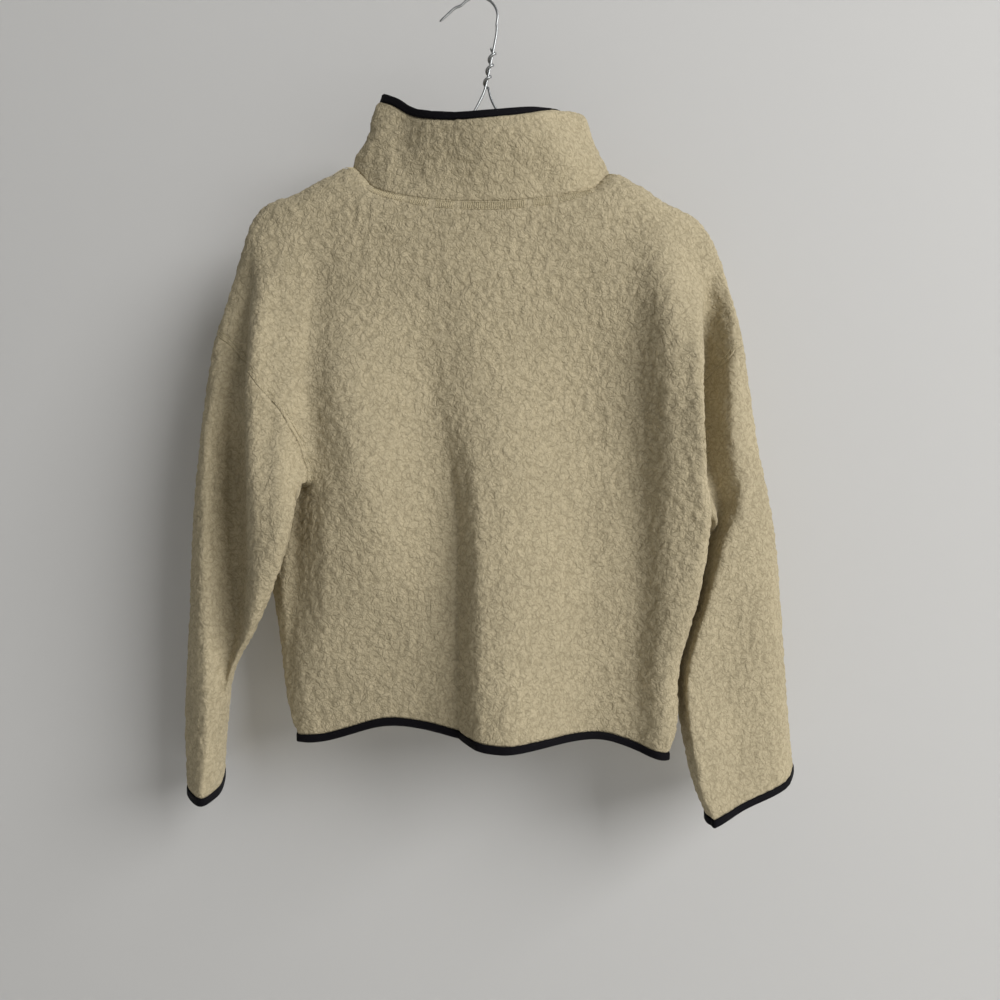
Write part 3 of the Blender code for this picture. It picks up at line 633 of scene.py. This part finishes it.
FOLDS = (
    # the collar's back, which turns a little to the left
    Fold(((-84, -62, 0), (-112, -62, -7), (-150, -62, -9), (-176, -62, -6), (-205, -62, 0)),
         32, 92),
    # the middle valley, whose right wall is steep, and the shoulder of the crest beside it
    Fold(((-330, -50, 0), (-372, -43, -1), (-418, -30, -2), (-450, -25, -4), (-482, -20, -6),
          (-555, -18, -8), (-617, -18, -9), (-661, -18, -9), (-730, -17, -8)), 26, 12, keen=True),
    Fold(((-400, -12, 0), (-482, -3, 3), (-555, -1, 4), (-661, -1, 4), (-730, 0, 4)), 11, 18),
    # the long valley on the right, and the ridge beside it
    Fold(((-215, 138, 0), (-270, 143, -3), (-318, 147, -4), (-390, 149, -5), (-482, 150, -5),
          (-574, 149, -5), (-666, 147, -4), (-735, 145, -3)), 32, 22),
    Fold(((-240, 168, 0), (-318, 171, 3), (-390, 173, 4), (-574, 173, 4), (-666, 170, 3),
          (-735, 168, 2)), 22, 26),
    # the valley beside the left arm, and the body turning away under that arm
    Fold(((-235, -152, 0), (-297, -153, -3), (-373, -156, -4), (-420, -160, -6),
          (-450, -162, -8), (-482, -162, -5), (-515, -162, 0)), 12, 30),
    Fold(((-452, -168, 0), (-480, -168, -9), (-520, -169, -15), (-570, -172, -14),
          (-620, -176, -7), (-670, -176, 0)), 17, 34, only="back_panel"),
    # the roll of the left sleeve, which overhangs its groove
    Fold(((-240, -206, 0), (-266, -206, 5), (-314, -207, 11), (-371, -207, 16),
          (-427, -206, 17), (-482, -205, 16), (-538, -208, 10), (-575, -212, 4),
          (-600, -215, 0)), 10, 24),
    # the groove behind the body's right edge, over the armhole, and the sleeve's crest beside it
    Fold(((-258, 224, 0), (-280, 220, -9), (-300, 218, -16), (-321, 216, -21),
          (-350, 214, -29), (-375, 212, -37),
          (-400, 211, -41), (-427, 212, -39), (-455, 214, -29), (-480, 218, -16),
          (-505, 221, 0)), 9, 27),
    Fold(((-268, 207, 0), (-300, 206, 6), (-350, 205, 8), (-400, 203, 6), (-450, 204, 4),
          (-490, 208, 0)), 20, 6),
    Fold(((-300, 240, 0), (-340, 236, 4), (-375, 235, 8), (-427, 235, 9), (-470, 237, 6),
          (-510, 240, 0)), 19, 24),
    # the right sleeve is flattish, and turns back only near its outer edge
    Fold(((-430, 268, 0), (-500, 274, 8), (-600, 283, 13), (-700, 292, 15), (-800, 301, 15)),
         58, 26),
)
SWELLS = (
    Swell((-100, 0, -128), 46, 8.5),                        # the collar's left side stands up
    Swell((-102, 0, -104), 34, 10, way=(-1, 0, 0)),
    Swell((-118, 0, -158), 36, 12, way=(-1, 0, 0)),
    Swell((98, 8, -122), 36, 6.5),                          # its right corner is full
    Swell((90, 8, -112), 26, 4, way=(0.3, 0, 1)),
    Swell((108, 4, -158), 36, 8, way=(1, 0, 0)),
    Swell((-44, -56, -153), 50, 7, way=(0, -1, 0)),         # its back bulges over the seam
    Swell((6, -60, -155), 50, 9, way=(0, -1, 0)),
    Swell((56, -56, -154), 50, 10, way=(0, -1, 0)),
    Swell((92, -40, -166), 44, 10, way=(0, -1, 0)),
    Swell((-112, 0, -174), 30, 9, way=(0.1, 0, 1)),         # the shoulders stand up beside it,
    Swell((124, 0, -178), 28, 7, way=(-0.1, 0, 1)),
    Swell((-136, 0, -178), 46, 8, way=(-0.3, 0, 1)),        # run straight down
    Swell((140, 0, -184), 46, 6, way=(0.3, 0, 1)),
    Swell((-166, 0, -190), 42, 5, way=(-0.3, 0, 1)),
    Swell((166, 0, -196), 46, 6, way=(0.3, 0, 1)),
    Swell((-206, 0, -208), 46, 11, way=(-0.5, 0, 1)),       # and break where the wire ends
    Swell((206, 0, -212), 48, 9, way=(0.6, 0, 1)),
    Swell((-214, -20, -245), 34, 7, way=(0, -1, 0)),
    Swell((200, -10, -642), 84, 9, way=(-1, 0, 0)),         # the body draws in by the right arm
)


@dataclass
class Garment:
    """All the cloth as one welded sheet, which is smoothed and then cut into its pieces."""

    wall: float = 4.0 * MM
    wall_slack: float = 0.001 * MM      # how closely an edge must match the wall to cross a rim
    flat: float = math.radians(70)      # triangles that meet flatter than this become a quad
    weld: float = 0.9 * MM              # closes the gaps that the solids leave at seams
    levels: int = 2
    neck_crease: float = 0.8
    bound_crease: float = 0.7
    faced: float = 0.3                  # how squarely cloth faces -Y where a fold is full

    def outer_face(self, cut: Cut) -> bmesh.types.BMesh:
        """Take the outer face of a solid as a sheet of quads.

        Args:
            cut: the piece.

        Returns:
            A bmesh of the face, in metres.
        """
        sheet = bmesh.new()
        sheet.from_mesh(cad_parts[cut.node].data)
        bmesh.ops.remove_doubles(sheet, verts=sheet.verts[:], dist=SAME)
        across = [e for e in sheet.edges
                  if abs(e.calc_length() - self.wall) < self.wall_slack]
        rim = {face for edge in across for face in edge.link_faces}
        bmesh.ops.delete(sheet, geom=list(rim), context="FACES")
        sheet.normal_update()
        middle = Vector(cut.axis)
        if cut.tube:
            middle = sum((f.calc_center_median() for f in sheet.faces), Vector())
            middle /= len(sheet.faces)
        islands = self.islands(sheet)
        looks = [sum(f.calc_area() * f.normal.dot(f.calc_center_median() - middle)
                     for f in island) for island in islands]
        keep = islands[looks.index(max(looks))]
        spare = [face for face in sheet.faces if face not in set(keep)]
        bmesh.ops.delete(sheet, geom=spare, context="FACES")
        bmesh.ops.join_triangles(sheet, faces=sheet.faces[:], cmp_seam=False,
                                 angle_face_threshold=self.flat,
                                 angle_shape_threshold=self.flat)
        return sheet

    @staticmethod
    def islands(sheet: bmesh.types.BMesh) -> list[list[bmesh.types.BMFace]]:
        """Group the faces of a sheet by what is joined together.

        Args:
            sheet: the sheet.

        Returns:
            The faces of each island.
        """
        left, groups = set(sheet.faces), []
        while left:
            seed = left.pop()
            group, queue = [seed], [seed]
            while queue:
                for edge in queue.pop().edges:
                    for face in edge.link_faces:
                        if face in left:
                            left.discard(face)
                            group.append(face)
                            queue.append(face)
            groups.append(group)
        return groups

    def welded(self) -> bmesh.types.BMesh:
        """Join the outer faces of all the pieces.

        Returns:
            The whole garment as one sheet, with the number of the cut as material index.
        """
        whole = bmesh.new()
        for number, cut in enumerate(CUTS):
            part = self.outer_face(cut)
            for face in part.faces:
                face.material_index = number
                face.smooth = True
            step = bpy.data.meshes.new("step")
            part.to_mesh(step)
            part.free()
            whole.from_mesh(step)
            bpy.data.meshes.remove(step)
        bmesh.ops.remove_doubles(whole, verts=whole.verts[:], dist=self.weld)
        return whole

    def crease(self, whole: bmesh.types.BMesh) -> None:
        """Mark the seams that smoothing must not round away.

        Args:
            whole: the whole garment, before it is smoothed.
        """
        crease = whole.edges.layers.float.new("crease_edge")
        for edge in whole.edges:
            numbers = {face.material_index for face in edge.link_faces}
            joined = [CUTS[number] for number in numbers]
            if len(joined) != 2:
                continue
            if any(cut.cloth is Cloth.TAPE for cut in joined):
                edge[crease] = self.bound_crease
            elif any(cut.node == "collar" for cut in joined):
                edge[crease] = self.neck_crease

    def smooth(self) -> bpy.types.Mesh:
        """Smooth the welded garment and press the folds in.

        Returns:
            The whole garment as one mesh, with the number of the cut as material index.
        """
        whole = self.welded()
        self.crease(whole)
        mesh = bpy.data.meshes.new("garment")
        whole.to_mesh(mesh)
        whole.free()
        holder = link_object("garment", mesh)
        smoother = holder.modifiers.new("smooth", "SUBSURF")
        smoother.levels = smoother.render_levels = self.levels
        smoother.boundary_smooth = "PRESERVE_CORNERS"
        graph = bpy.context.evaluated_depsgraph_get()
        done = bpy.data.meshes.new_from_object(holder.evaluated_get(graph))
        bpy.data.objects.remove(holder)
        self.fold(done)
        return done

    def fold(self, mesh: bpy.types.Mesh) -> None:
        """Press the sharper folds and the fullnesses into the smooth garment.

        Args:
            mesh: the whole garment, which is changed.
        """
        pieces: list[set[int]] = [set() for _ in mesh.vertices]
        for face in mesh.polygons:
            for number in face.vertices:
                pieces[number].add(face.material_index)
        moves = []
        for vertex, found in zip(mesh.vertices, pieces):
            node = CUTS[min(found)].node if len(found) == 1 else ""
            away = sum((swell.move(vertex.co, vertex.normal) for swell in SWELLS), Vector())
            behind = smoothstep(0.0, self.faced, -vertex.normal.y)
            if behind > 0:
                away.y -= behind * sum(fold.lift(vertex.co) for fold in FOLDS
                                       if fold.only in ("", node))
            moves.append(away * MM)
        for vertex, move in zip(mesh.vertices, moves):
            vertex.co += move

    def sheets(self) -> list[Sheet]:
        """Cut the smooth garment into its pieces.

        Returns:
            The pieces, each with its own mesh and outward directions.
        """
        whole = self.smooth()
        made = []
        for number, cut in enumerate(CUTS):
            sheet = bmesh.new()
            sheet.from_mesh(whole)
            outward = sheet.verts.layers.float_vector.new("outward")
            sheet.normal_update()
            for vertex in sheet.verts:
                vertex[outward] = vertex.normal
            spare = [face for face in sheet.faces if face.material_index != number]
            bmesh.ops.delete(sheet, geom=spare, context="FACES")
            for face in sheet.faces:
                face.material_index = 0
            made.append(Sheet(cut, sheet))
            log.info("cut %s: %d faces", cut.node, len(sheet.faces))
        bpy.data.meshes.remove(whole)
        return made


@dataclass(frozen=True)
class Neighbours:
    """The edges of all the pieces, which tell what a place on an edge is sewn to."""

    edges: dict[str, kdtree.KDTree]     # points along each piece's edge
    sewn: float = 3.0 * MM              # edges this close to each other are sewn together

    @classmethod
    def of(cls, sheets: Iterable[Sheet]) -> "Neighbours":
        """Collect the points along each piece's edge.

        Args:
            sheets: the smooth pieces.

        Returns:
            The edges of all of them.
        """
        return cls({sheet.cut.node: tree_of([v.co.copy() for v in sheet.mesh.verts
                                             if v.is_boundary]) for sheet in sheets})

    def touching(self, own: str, place: Vector) -> set[str]:
        """Find the pieces that are sewn to a piece at a place.

        Args:
            own: the piece's node.
            place: point on its edge.

        Returns:
            The nodes of the others.
        """
        return {node for node, tree in self.edges.items()
                if node != own and tree.find(place)[2] < self.sewn}

    def seam(self, own: str, place: Vector) -> Seam:
        """Find the kind of seam at a place on a piece's edge.

        Args:
            own: the piece's node.
            place: point on its edge.

        Returns:
            The kind of seam.
        """
        touching = self.touching(own, place)
        if any("binding" in node for node in touching):
            return Seam.BOUND
        if not touching:
            return Seam.FREE
        if own == "collar":
            return Seam.COLLAR
        if own.startswith("sleeve"):
            return Seam.SLEEVE_HEAD
        if "collar" in touching:
            return Seam.NECK
        if any(node.startswith("sleeve") for node in touching):
            return Seam.ARMHOLE
        return Seam.SHOULDER if place.z > SHOULDER_FOOT and own == "back_panel" else Seam.SIDE


# ------------------------------------------------------------------ pile
@dataclass(frozen=True)
class CurlField:
    """Height of the pile at a place: soft lumps, each a few curls together."""

    lump_mm: float = 6.6
    small_mm: float = 3.2
    lump_span: float = 0.45             # the noise runs from minus this in a hollow to plus this
    small_span: float = 0.5
    lump_share: float = 0.65

    def at(self, place: Vector) -> float:
        """Find the height of the pile.

        Args:
            place: point of the cloth, in metres.

        Returns:
            From 0 in a hollow to 1 on a lump's crown.
        """
        p = place / MM
        lump = smoothstep(-self.lump_span, self.lump_span, noise.noise(p / self.lump_mm))
        small = smoothstep(-self.small_span, self.small_span, noise.noise(p / self.small_mm))
        return self.lump_share * lump + (1 - self.lump_share) * small


@dataclass
class FleecePiece:
    """A cut piece of sherpa fleece with its wall, its pile and the marks of its seams."""

    sheet: Sheet
    neighbours: Neighbours
    finish: bpy.types.Material
    curls: CurlField = field(default_factory=CurlField)
    wall: float = 4.0 * MM
    setback: float = 0.01 * MM
    long_edge: float = 4.3 * MM         # edges over this are cut in three
    short_edge: float = 2.36 * MM       # and those over this in two
    pile_mm: float = 1.5                # from a hollow to a crown
    mean_height: float = 0.5            # of the pile, which lies on the solid's face
    inner_tone: float = 0.55            # the plain inside, between root and sunlit curl colour
    cover: float = 38.0 * MM            # how far apart the places lie where pile hides a seam
    bare_span: tuple[float, float] = (-0.15, 0.2)   # noise where it is hidden, and where it shows
    kept: float = 0.25                  # share of the pile's height that is left beside a seam
    pressed_mm: float = 0.3             # how far the cloth sinks there
    pressed_tone: float = 0.6           # and how light it is, with less painted crevice shade
    step: float = 1.0 * MM              # the most between two points along a seam
    on_outer: float = 0.99              # over this in its layer, a point is on the outer face

    def build(self) -> bpy.types.Object:
        """Give the sheet its wall, divide its outer face finely and raise the pile on it.

        Returns:
            The finished piece, which rides on the frame.
        """
        mesh = self.sheet.mesh
        fine = mesh.verts.layers.float.new("outer")
        mesh.verts.layers.float.new("pile")
        outward = mesh.verts.layers.float_vector["outward"]
        seams = self.seams(mesh)
        self.set_back(mesh)
        for vertex in mesh.verts:
            vertex[fine] = 1.0
        ground = BVHTree.FromBMesh(mesh)
        made = bmesh.ops.extrude_face_region(mesh, geom=mesh.faces[:], use_keep_orig=True)
        for vertex in (v for v in made["geom"] if isinstance(v, bmesh.types.BMVert)):
            inward = -vertex[outward].normalized()
            vertex.co += inward * room(ground, vertex.co, inward, self.wall)
            vertex[fine] = 0.0
        bmesh.ops.recalc_face_normals(mesh, faces=mesh.faces[:])
        for cuts, limit in ((2, self.long_edge), (1, self.short_edge)):
            edges = [e for e in mesh.edges
                     if all(v[fine] > self.on_outer for v in e.verts)
                     and e.calc_length() > limit]
            bmesh.ops.subdivide_edges(mesh, edges=edges, cuts=cuts, use_grid_fill=True)
        self.raise_pile(mesh, seams, outward, fine)
        mesh.verts.layers.float_vector.remove(mesh.verts.layers.float_vector["outward"])
        mesh.verts.layers.float.remove(mesh.verts.layers.float["outer"])
        cut = self.sheet.cut
        return place_piece(cut.label, mesh, self.finish, cut.cloth.value, cut.node)

    def seams(self, mesh: bmesh.types.BMesh) -> dict[Seam, kdtree.KDTree]:
        """Sort the piece's edge into kinds of seam.

        Args:
            mesh: the smooth sheet.

        Returns:
            Points along each kind of seam, closely spaced.
        """
        points: dict[Seam, list[Vector]] = {}
        for edge in mesh.edges:
            if not edge.is_boundary:
                continue
            start, end = (v.co for v in edge.verts)
            kind = self.neighbours.seam(self.sheet.cut.node, (start + end) / 2)
            steps = max(1, math.ceil((end - start).length / self.step))
            points.setdefault(kind, []).extend(start.lerp(end, i / steps)
                                               for i in range(steps + 1))
        return {kind: tree_of(found) for kind, found in points.items()}

    def set_back(self, mesh: bmesh.types.BMesh) -> None:
        """Draw the piece's edge a hair back from the seam, so that neighbours stay clear.

        Args:
            mesh: the smooth sheet.
        """
        moves = {}
        for vertex in mesh.verts:
            if vertex.is_boundary:
                middle = sum((f.calc_center_median() - vertex.co for f in vertex.link_faces),
                             Vector())
                moves[vertex] = middle.normalized() * self.setback
        for vertex, move in moves.items():
            vertex.co += move

    def raise_pile(self, mesh: bmesh.types.BMesh, seams: dict[Seam, kdtree.KDTree],
                   outward: bmesh.types.BMLayerItem, fine: bmesh.types.BMLayerItem) -> None:
        """Lift the outer face into curls, flatter beside the seams.

        Args:
            mesh: the closed piece, finely divided on its outer face.
            seams: points along each kind of seam.
            outward: layer with the cloth's outward direction.
            fine: layer that is 1 on the outer face.
        """
        pile = mesh.verts.layers.float["pile"]
        for vertex in mesh.verts:
            if vertex[fine] < self.on_outer:
                vertex[pile] = self.inner_tone
                continue
            height = self.curls.at(vertex.co)
            bare = smoothstep(*self.bare_span, noise.noise(vertex.co / self.cover))
            loose, sink = 1.0, 0.0
            for kind, tree in seams.items():
                press = PRESS[kind]
                away = tree.find(vertex.co)[2] / MM
                shown = 1 - press.covered * (1 - bare)
                loose = min(loose, 1 - shown * (1 - smoothstep(press.flat, press.reach, away)))
                sink += shown * sum(depth * (1 - smoothstep(0, half, abs(away - at)))
                                    for at, depth, half in press.grooves
                                    if abs(away - at) < half)
            kept = self.kept + (1 - self.kept) * loose
            lift = (height - self.mean_height) * self.pile_mm * kept - sink
            lift -= (1 - loose) * self.pressed_mm
            vertex.co += vertex[outward].normalized() * (lift * MM)
            # the pile attribute sets how much painted crevice shade the material gives this point
            vertex[pile] = height * kept + self.pressed_tone * (1 - kept)


@dataclass
class BindingTape:
    """A tape folded round a raw edge: full in the middle, rounded where it turns under."""

    sheet: Sheet
    neighbours: Neighbours
    finish: bpy.types.Material
    wall: float = 4.0 * MM
    proud: float = 0.7 * MM             # it stands this much out from the fleece
    lip: float = 0.12                   # share of its height over which it swells from the seam,
    lip_full: float = 0.90              # where it has this much of its thickness
    tuck: float = 0.25                  # share of its height over which it turns under
    least: float = 0.05 * MM            # half of the thickness that is left at its very edge
    short_edge: float = 1.6 * MM        # edges over this are cut in two
    steps: int = 4                      # points along each stretch of its edges

    def build(self) -> bpy.types.Object:
        """Give the sheet its thickness, rounded towards its free edge.

        Returns:
            The finished tape, which rides on the frame.
        """
        mesh = self.sheet.mesh
        share = mesh.verts.layers.float.new("share")
        outward = mesh.verts.layers.float_vector["outward"]
        long = [e for e in mesh.edges if e.calc_length() > self.short_edge]
        bmesh.ops.subdivide_edges(mesh, edges=long, cuts=1, use_grid_fill=True)
        sewn, free = self.edges(mesh)
        for vertex in mesh.verts:
            to_seam, to_free = sewn.find(vertex.co)[2], free.find(vertex.co)[2]
            vertex[share] = to_seam / max(to_seam + to_free, TINY)
        ground = BVHTree.FromBMesh(mesh)
        made = bmesh.ops.extrude_face_region(mesh, geom=mesh.faces[:], use_keep_orig=True)
        inner = {v for v in made["geom"] if isinstance(v, bmesh.types.BMVert)}
        for vertex in mesh.verts:
            half, inward = self.half(vertex[share]), -vertex[outward].normalized()
            deep = self.wall / 2 - half
            if vertex in inner:
                deep = room(ground, vertex.co, inward, self.wall / 2 + half)
            vertex.co += inward * deep
        bmesh.ops.recalc_face_normals(mesh, faces=mesh.faces[:])
        mesh.verts.layers.float_vector.remove(mesh.verts.layers.float_vector["outward"])
        mesh.verts.layers.float.remove(mesh.verts.layers.float["share"])
        cut = self.sheet.cut
        return place_piece(cut.label, mesh, self.finish, cut.cloth.value, cut.node)

    def half(self, across: float) -> float:
        """Work out half of the tape's thickness.

        Args:
            across: share of the tape's height, from the seam.

        Returns:
            Half of the thickness there, in metres.
        """
        full = self.wall / 2 + self.proud
        if across < self.lip:
            return full * (self.lip_full + (1 - self.lip_full) * across / self.lip)
        end = max((across - (1 - self.tuck)) / self.tuck, 0.0)
        return full * math.sqrt(max(1 - end * end, 0.0)) + self.least

    def edges(self, mesh: bmesh.types.BMesh) -> tuple[kdtree.KDTree, kdtree.KDTree]:
        """Find the sewn and the free edge of the tape.

        Args:
            mesh: the smooth sheet.

        Returns:
            Points along the sewn edge and along the free one.
        """
        rims: tuple[list[Vector], list[Vector]] = ([], [])
        for edge in mesh.edges:
            if edge.is_boundary:
                start, end = (v.co for v in edge.verts)
                sewn = self.neighbours.touching(self.sheet.cut.node, (start + end) / 2)
                rims[0 if sewn else 1].extend(start.lerp(end, i / self.steps)
                                              for i in range(self.steps + 1))
        return tree_of(rims[0]), tree_of(rims[1])


# ------------------------------------------------------------------ thread
@dataclass(frozen=True)
class StitchRow:
    """A row of stitches beside a seam, in mm: either along it, or across it as a cover."""

    seam: Seam
    near: float                 # distance from the seam
    far: float                  # the same for a row along it, or where a cover stitch ends
    pitch: float
    length: float               # of a stitch along the seam
    slant: float = 0.0          # how far a cover stitch leans along the seam


STITCH_ROWS = (
    StitchRow(Seam.NECK, 0.9, 6.9, 2.1, 0.0, 0.5),
    StitchRow(Seam.NECK, 0.9, 0.9, 2.6, 2.0),
    StitchRow(Seam.NECK, 7.1, 7.1, 2.6, 2.0),
    StitchRow(Seam.ARMHOLE, 1.3, 1.3, 3.4, 2.4),
    StitchRow(Seam.ARMHOLE, 5.0, 5.0, 3.4, 2.4),
    StitchRow(Seam.SHOULDER, 1.3, 1.3, 3.4, 2.4),
    StitchRow(Seam.SHOULDER, 6.0, 6.0, 3.4, 2.4),
)


@dataclass
class Stitching:
    """The thread that shows on one piece, stitch by stitch."""

    sheet: Sheet
    neighbours: Neighbours
    finish: bpy.types.Material
    radius: float = 0.30 * MM
    above: float = -0.05 * MM           # the thread's middle, over the flattened pile
    around: int = 6                     # a stitch's faces round it
    along: int = 4                      # and along it

    def build(self) -> list[bpy.types.Object]:
        """Sew the rows that the piece's seams have.

        Returns:
            All the stitches as one object in a list, which is empty where there are none.
        """
        cut = self.sheet.cut
        ground = BVHTree.FromBMesh(self.sheet.mesh)
        made = bmesh.new()
        for edge in self.sheet.mesh.edges:
            if edge.is_boundary:
                middle = (edge.verts[0].co + edge.verts[1].co) / 2
                kind = self.neighbours.seam(cut.node, middle)
                for row in STITCH_ROWS:
                    if row.seam is kind:
                        self.sew(made, edge, row, ground)
        if not made.faces:
            made.free()
            return []
        return [place_piece(f"stitches_{cut.node}", made, self.finish, cut.cloth.value)]

    def sew(self, made: bmesh.types.BMesh, edge: bmesh.types.BMEdge, row: StitchRow,
            ground: BVHTree) -> None:
        """Sew the stitches of a row that lie beside one edge of the sheet.

        Args:
            made: mesh that gets the thread.
            edge: a stretch of the seam.
            row: the row.
            ground: the sheet that the thread lies on.
        """
        start, end = (v.co for v in edge.verts)
        along = (end - start).normalized()
        face = edge.link_faces[0]
        inward = face.normal.cross(along).normalized()
        if inward.dot(face.calc_center_median() - start) < 0:
            inward = -inward
        count = max(1, round((end - start).length / (row.pitch * MM)))
        for i in range(count):
            seam = start.lerp(end, (i + 0.5) / count)
            half = along * (row.length / 2 * MM)
            lean = along * (row.slant * MM)
            first = self.on(ground, seam + inward * (row.near * MM) - half)
            last = self.on(ground, seam + inward * (row.far * MM) + half + lean)
            self.thread(made, first, last)

    def on(self, ground: BVHTree, place: Vector) -> Vector:
        """Return the place on the flattened pile nearest to a point."""
        near, normal, _, _ = ground.find_nearest(place)
        return near + normal * self.above

    def thread(self, made: bmesh.types.BMesh, first: Vector, last: Vector) -> None:
        """Lay one stitch, a stretched ball of few faces, because there are hundreds of them.

        Args:
            made: mesh that gets the thread.
            first: where the stitch comes up.
            last: where it goes down.
        """
        run = last - first
        turn = Vector((0, 0, 1)).rotation_difference(run).to_matrix().to_4x4()
        size = Matrix.Diagonal((self.radius, self.radius, run.length / 2 + self.radius, 1.0))
        bmesh.ops.create_uvsphere(made, u_segments=self.around, v_segments=self.along,
                                  radius=1.0,
                                  matrix=Matrix.Translation((first + last) / 2) @ turn @ size)


# ------------------------------------------------------------------ hanger
@dataclass
class WireHanger:
    """The bent wire: its solid made round."""

    node: str = "hanger"
    swell: float = 0.10 * MM            # what smoothing takes off the wire's radius
    flat: float = math.radians(50)      # triangles that meet flatter than this become a quad,
    square: float = math.radians(60)    # if its corners are this close to square
    levels: int = 2

    def build(self, finish: bpy.types.Material) -> bpy.types.Object:
        """Make the hanger.

        Args:
            finish: the wire's material.

        Returns:
            The hanger as an object that rides on the frame.
        """
        wire = bmesh.new()
        wire.from_mesh(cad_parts[self.node].data)
        bmesh.ops.remove_doubles(wire, verts=wire.verts[:], dist=SAME)
        bmesh.ops.join_triangles(wire, faces=wire.faces[:], cmp_seam=False,
                                 angle_face_threshold=self.flat,
                                 angle_shape_threshold=self.square)
        wire.normal_update()
        for vertex in wire.verts:
            vertex.co += vertex.normal * self.swell
        piece = place_piece("bent_wire", wire, finish, "wire", self.node)
        smoother = piece.modifiers.new("round", "SUBSURF")
        smoother.levels = smoother.render_levels = self.levels
        return piece


# ------------------------------------------------------------------ studio
@dataclass(frozen=True)
class SoftLight:
    """A square soft light."""

    name: str
    place: tuple[float, float, float]
    target: tuple[float, float, float]  # what it points at
    side: float
    watts: float
    colour: str

    def build(self) -> None:
        """Add the light to the stage."""
        lamp = bpy.data.lights.new(self.name, "AREA")
        lamp.shape = "SQUARE"
        lamp.size = self.side
        lamp.energy = self.watts
        lamp.color = linear(self.colour)[:3]
        holder = link_object(self.name, lamp)
        holder.location = self.place
        aim = Vector(self.target) - Vector(self.place)
        holder.rotation_euler = aim.to_track_quat("-Z", "Y").to_euler()


LIGHTS = (
    SoftLight("window", (3.10, -2.75, 1.35), (0.0, 0.0, -0.42), 2.5, 185.0, "#FFFEFC"),
    SoftLight("behind", (0.7, 2.2, 0.9), (0.0, 0.0, -0.3), 1.8, 36.0, "#FFFFFF"),
)


@dataclass
class Studio:
    """Pale wall and floor, a window's soft light from the right, and the camera."""

    wall_side: float = 7.0
    wall_middle: tuple[float, float, float] = (0.0, 0.100, 0.5)
    floor_side: float = 12.0
    floor_middle: tuple[float, float, float] = (0.0, 0.0, -1.20)
    sky: str = "#EDEDEB"
    sky_strength: float = 0.2
    camera_place: tuple[float, float, float] = (0.020, -0.72, -0.482)
    lens_mm: float = 27.0
    sensor_mm: float = 36.0

    def plane(self, name: str, side: float, middle: tuple[float, float, float], upright: bool,
              finish: bpy.types.Material) -> bpy.types.Object:
        """Make a flat stage surface.

        Args:
            name: its name.
            side: length of a side.
            middle: its middle.
            upright: whether it stands, facing -Y, or lies, facing up.
            finish: its material.

        Returns:
            The surface.
        """
        sheet = bmesh.new()
        bmesh.ops.create_grid(sheet, x_segments=1, y_segments=1, size=side / 2)
        if upright:
            turn = Vector((0, 0, 1)).rotation_difference(Vector((0, -1, 0)))
            bmesh.ops.rotate(sheet, verts=sheet.verts[:], matrix=turn.to_matrix())
        bmesh.ops.translate(sheet, verts=sheet.verts[:], vec=middle)
        data = bpy.data.meshes.new(name)
        sheet.to_mesh(data)
        sheet.free()
        data.materials.append(finish)
        surface = link_object(name, data)
        return surface

    def build(self) -> None:
        """Set the stage, the lights and the camera."""
        wall = self.plane("wall", self.wall_side, self.wall_middle, True,
                          RolledPaint("matt_emulsion_wall", "#C9C9C9").make(one_sided=True))
        wall.visible_shadow = False
        self.plane("floor", self.floor_side, self.floor_middle, False,
                   RolledPaint("matt_emulsion_floor", "#D9D7D2").make())
        for light in LIGHTS:
            light.build()
        world = bpy.data.worlds.new("room")
        world.use_nodes = True
        sky = world.node_tree.nodes["Background"]
        sky.inputs["Color"].default_value = linear(self.sky)
        sky.inputs["Strength"].default_value = self.sky_strength
        scene = bpy.context.scene
        scene.world = world
        scene.view_settings.view_transform = "Standard"
        data = bpy.data.cameras.new("camera")
        data.lens = self.lens_mm
        data.sensor_width = self.sensor_mm
        camera = link_object("camera", data)
        camera.location = self.camera_place
        camera.rotation_euler = (math.radians(90), 0, 0)
        scene.camera = camera


# ------------------------------------------------------------------ the whole
def main() -> None:
    """Build the pullover, its hanger and the studio."""
    logging.basicConfig(level=logging.INFO, format="%(name)s: %(message)s")
    fleece, tape, thread = SherpaPile().make(), KnittedTape().make(), SewingThread().make()
    hanger = WireHanger().build(GalvanisedWire().make())
    sheets = Garment().sheets()
    neighbours = Neighbours.of(sheets)
    for sheet in sheets:
        sewn = []
        if sheet.cut.cloth is Cloth.FLEECE:
            sewn = Stitching(sheet, neighbours, thread).build()
            piece = FleecePiece(sheet, neighbours, fleece).build()
        else:
            piece = BindingTape(sheet, neighbours, tape).build()
    Studio().build()


if __name__ == "__main__":
    main()
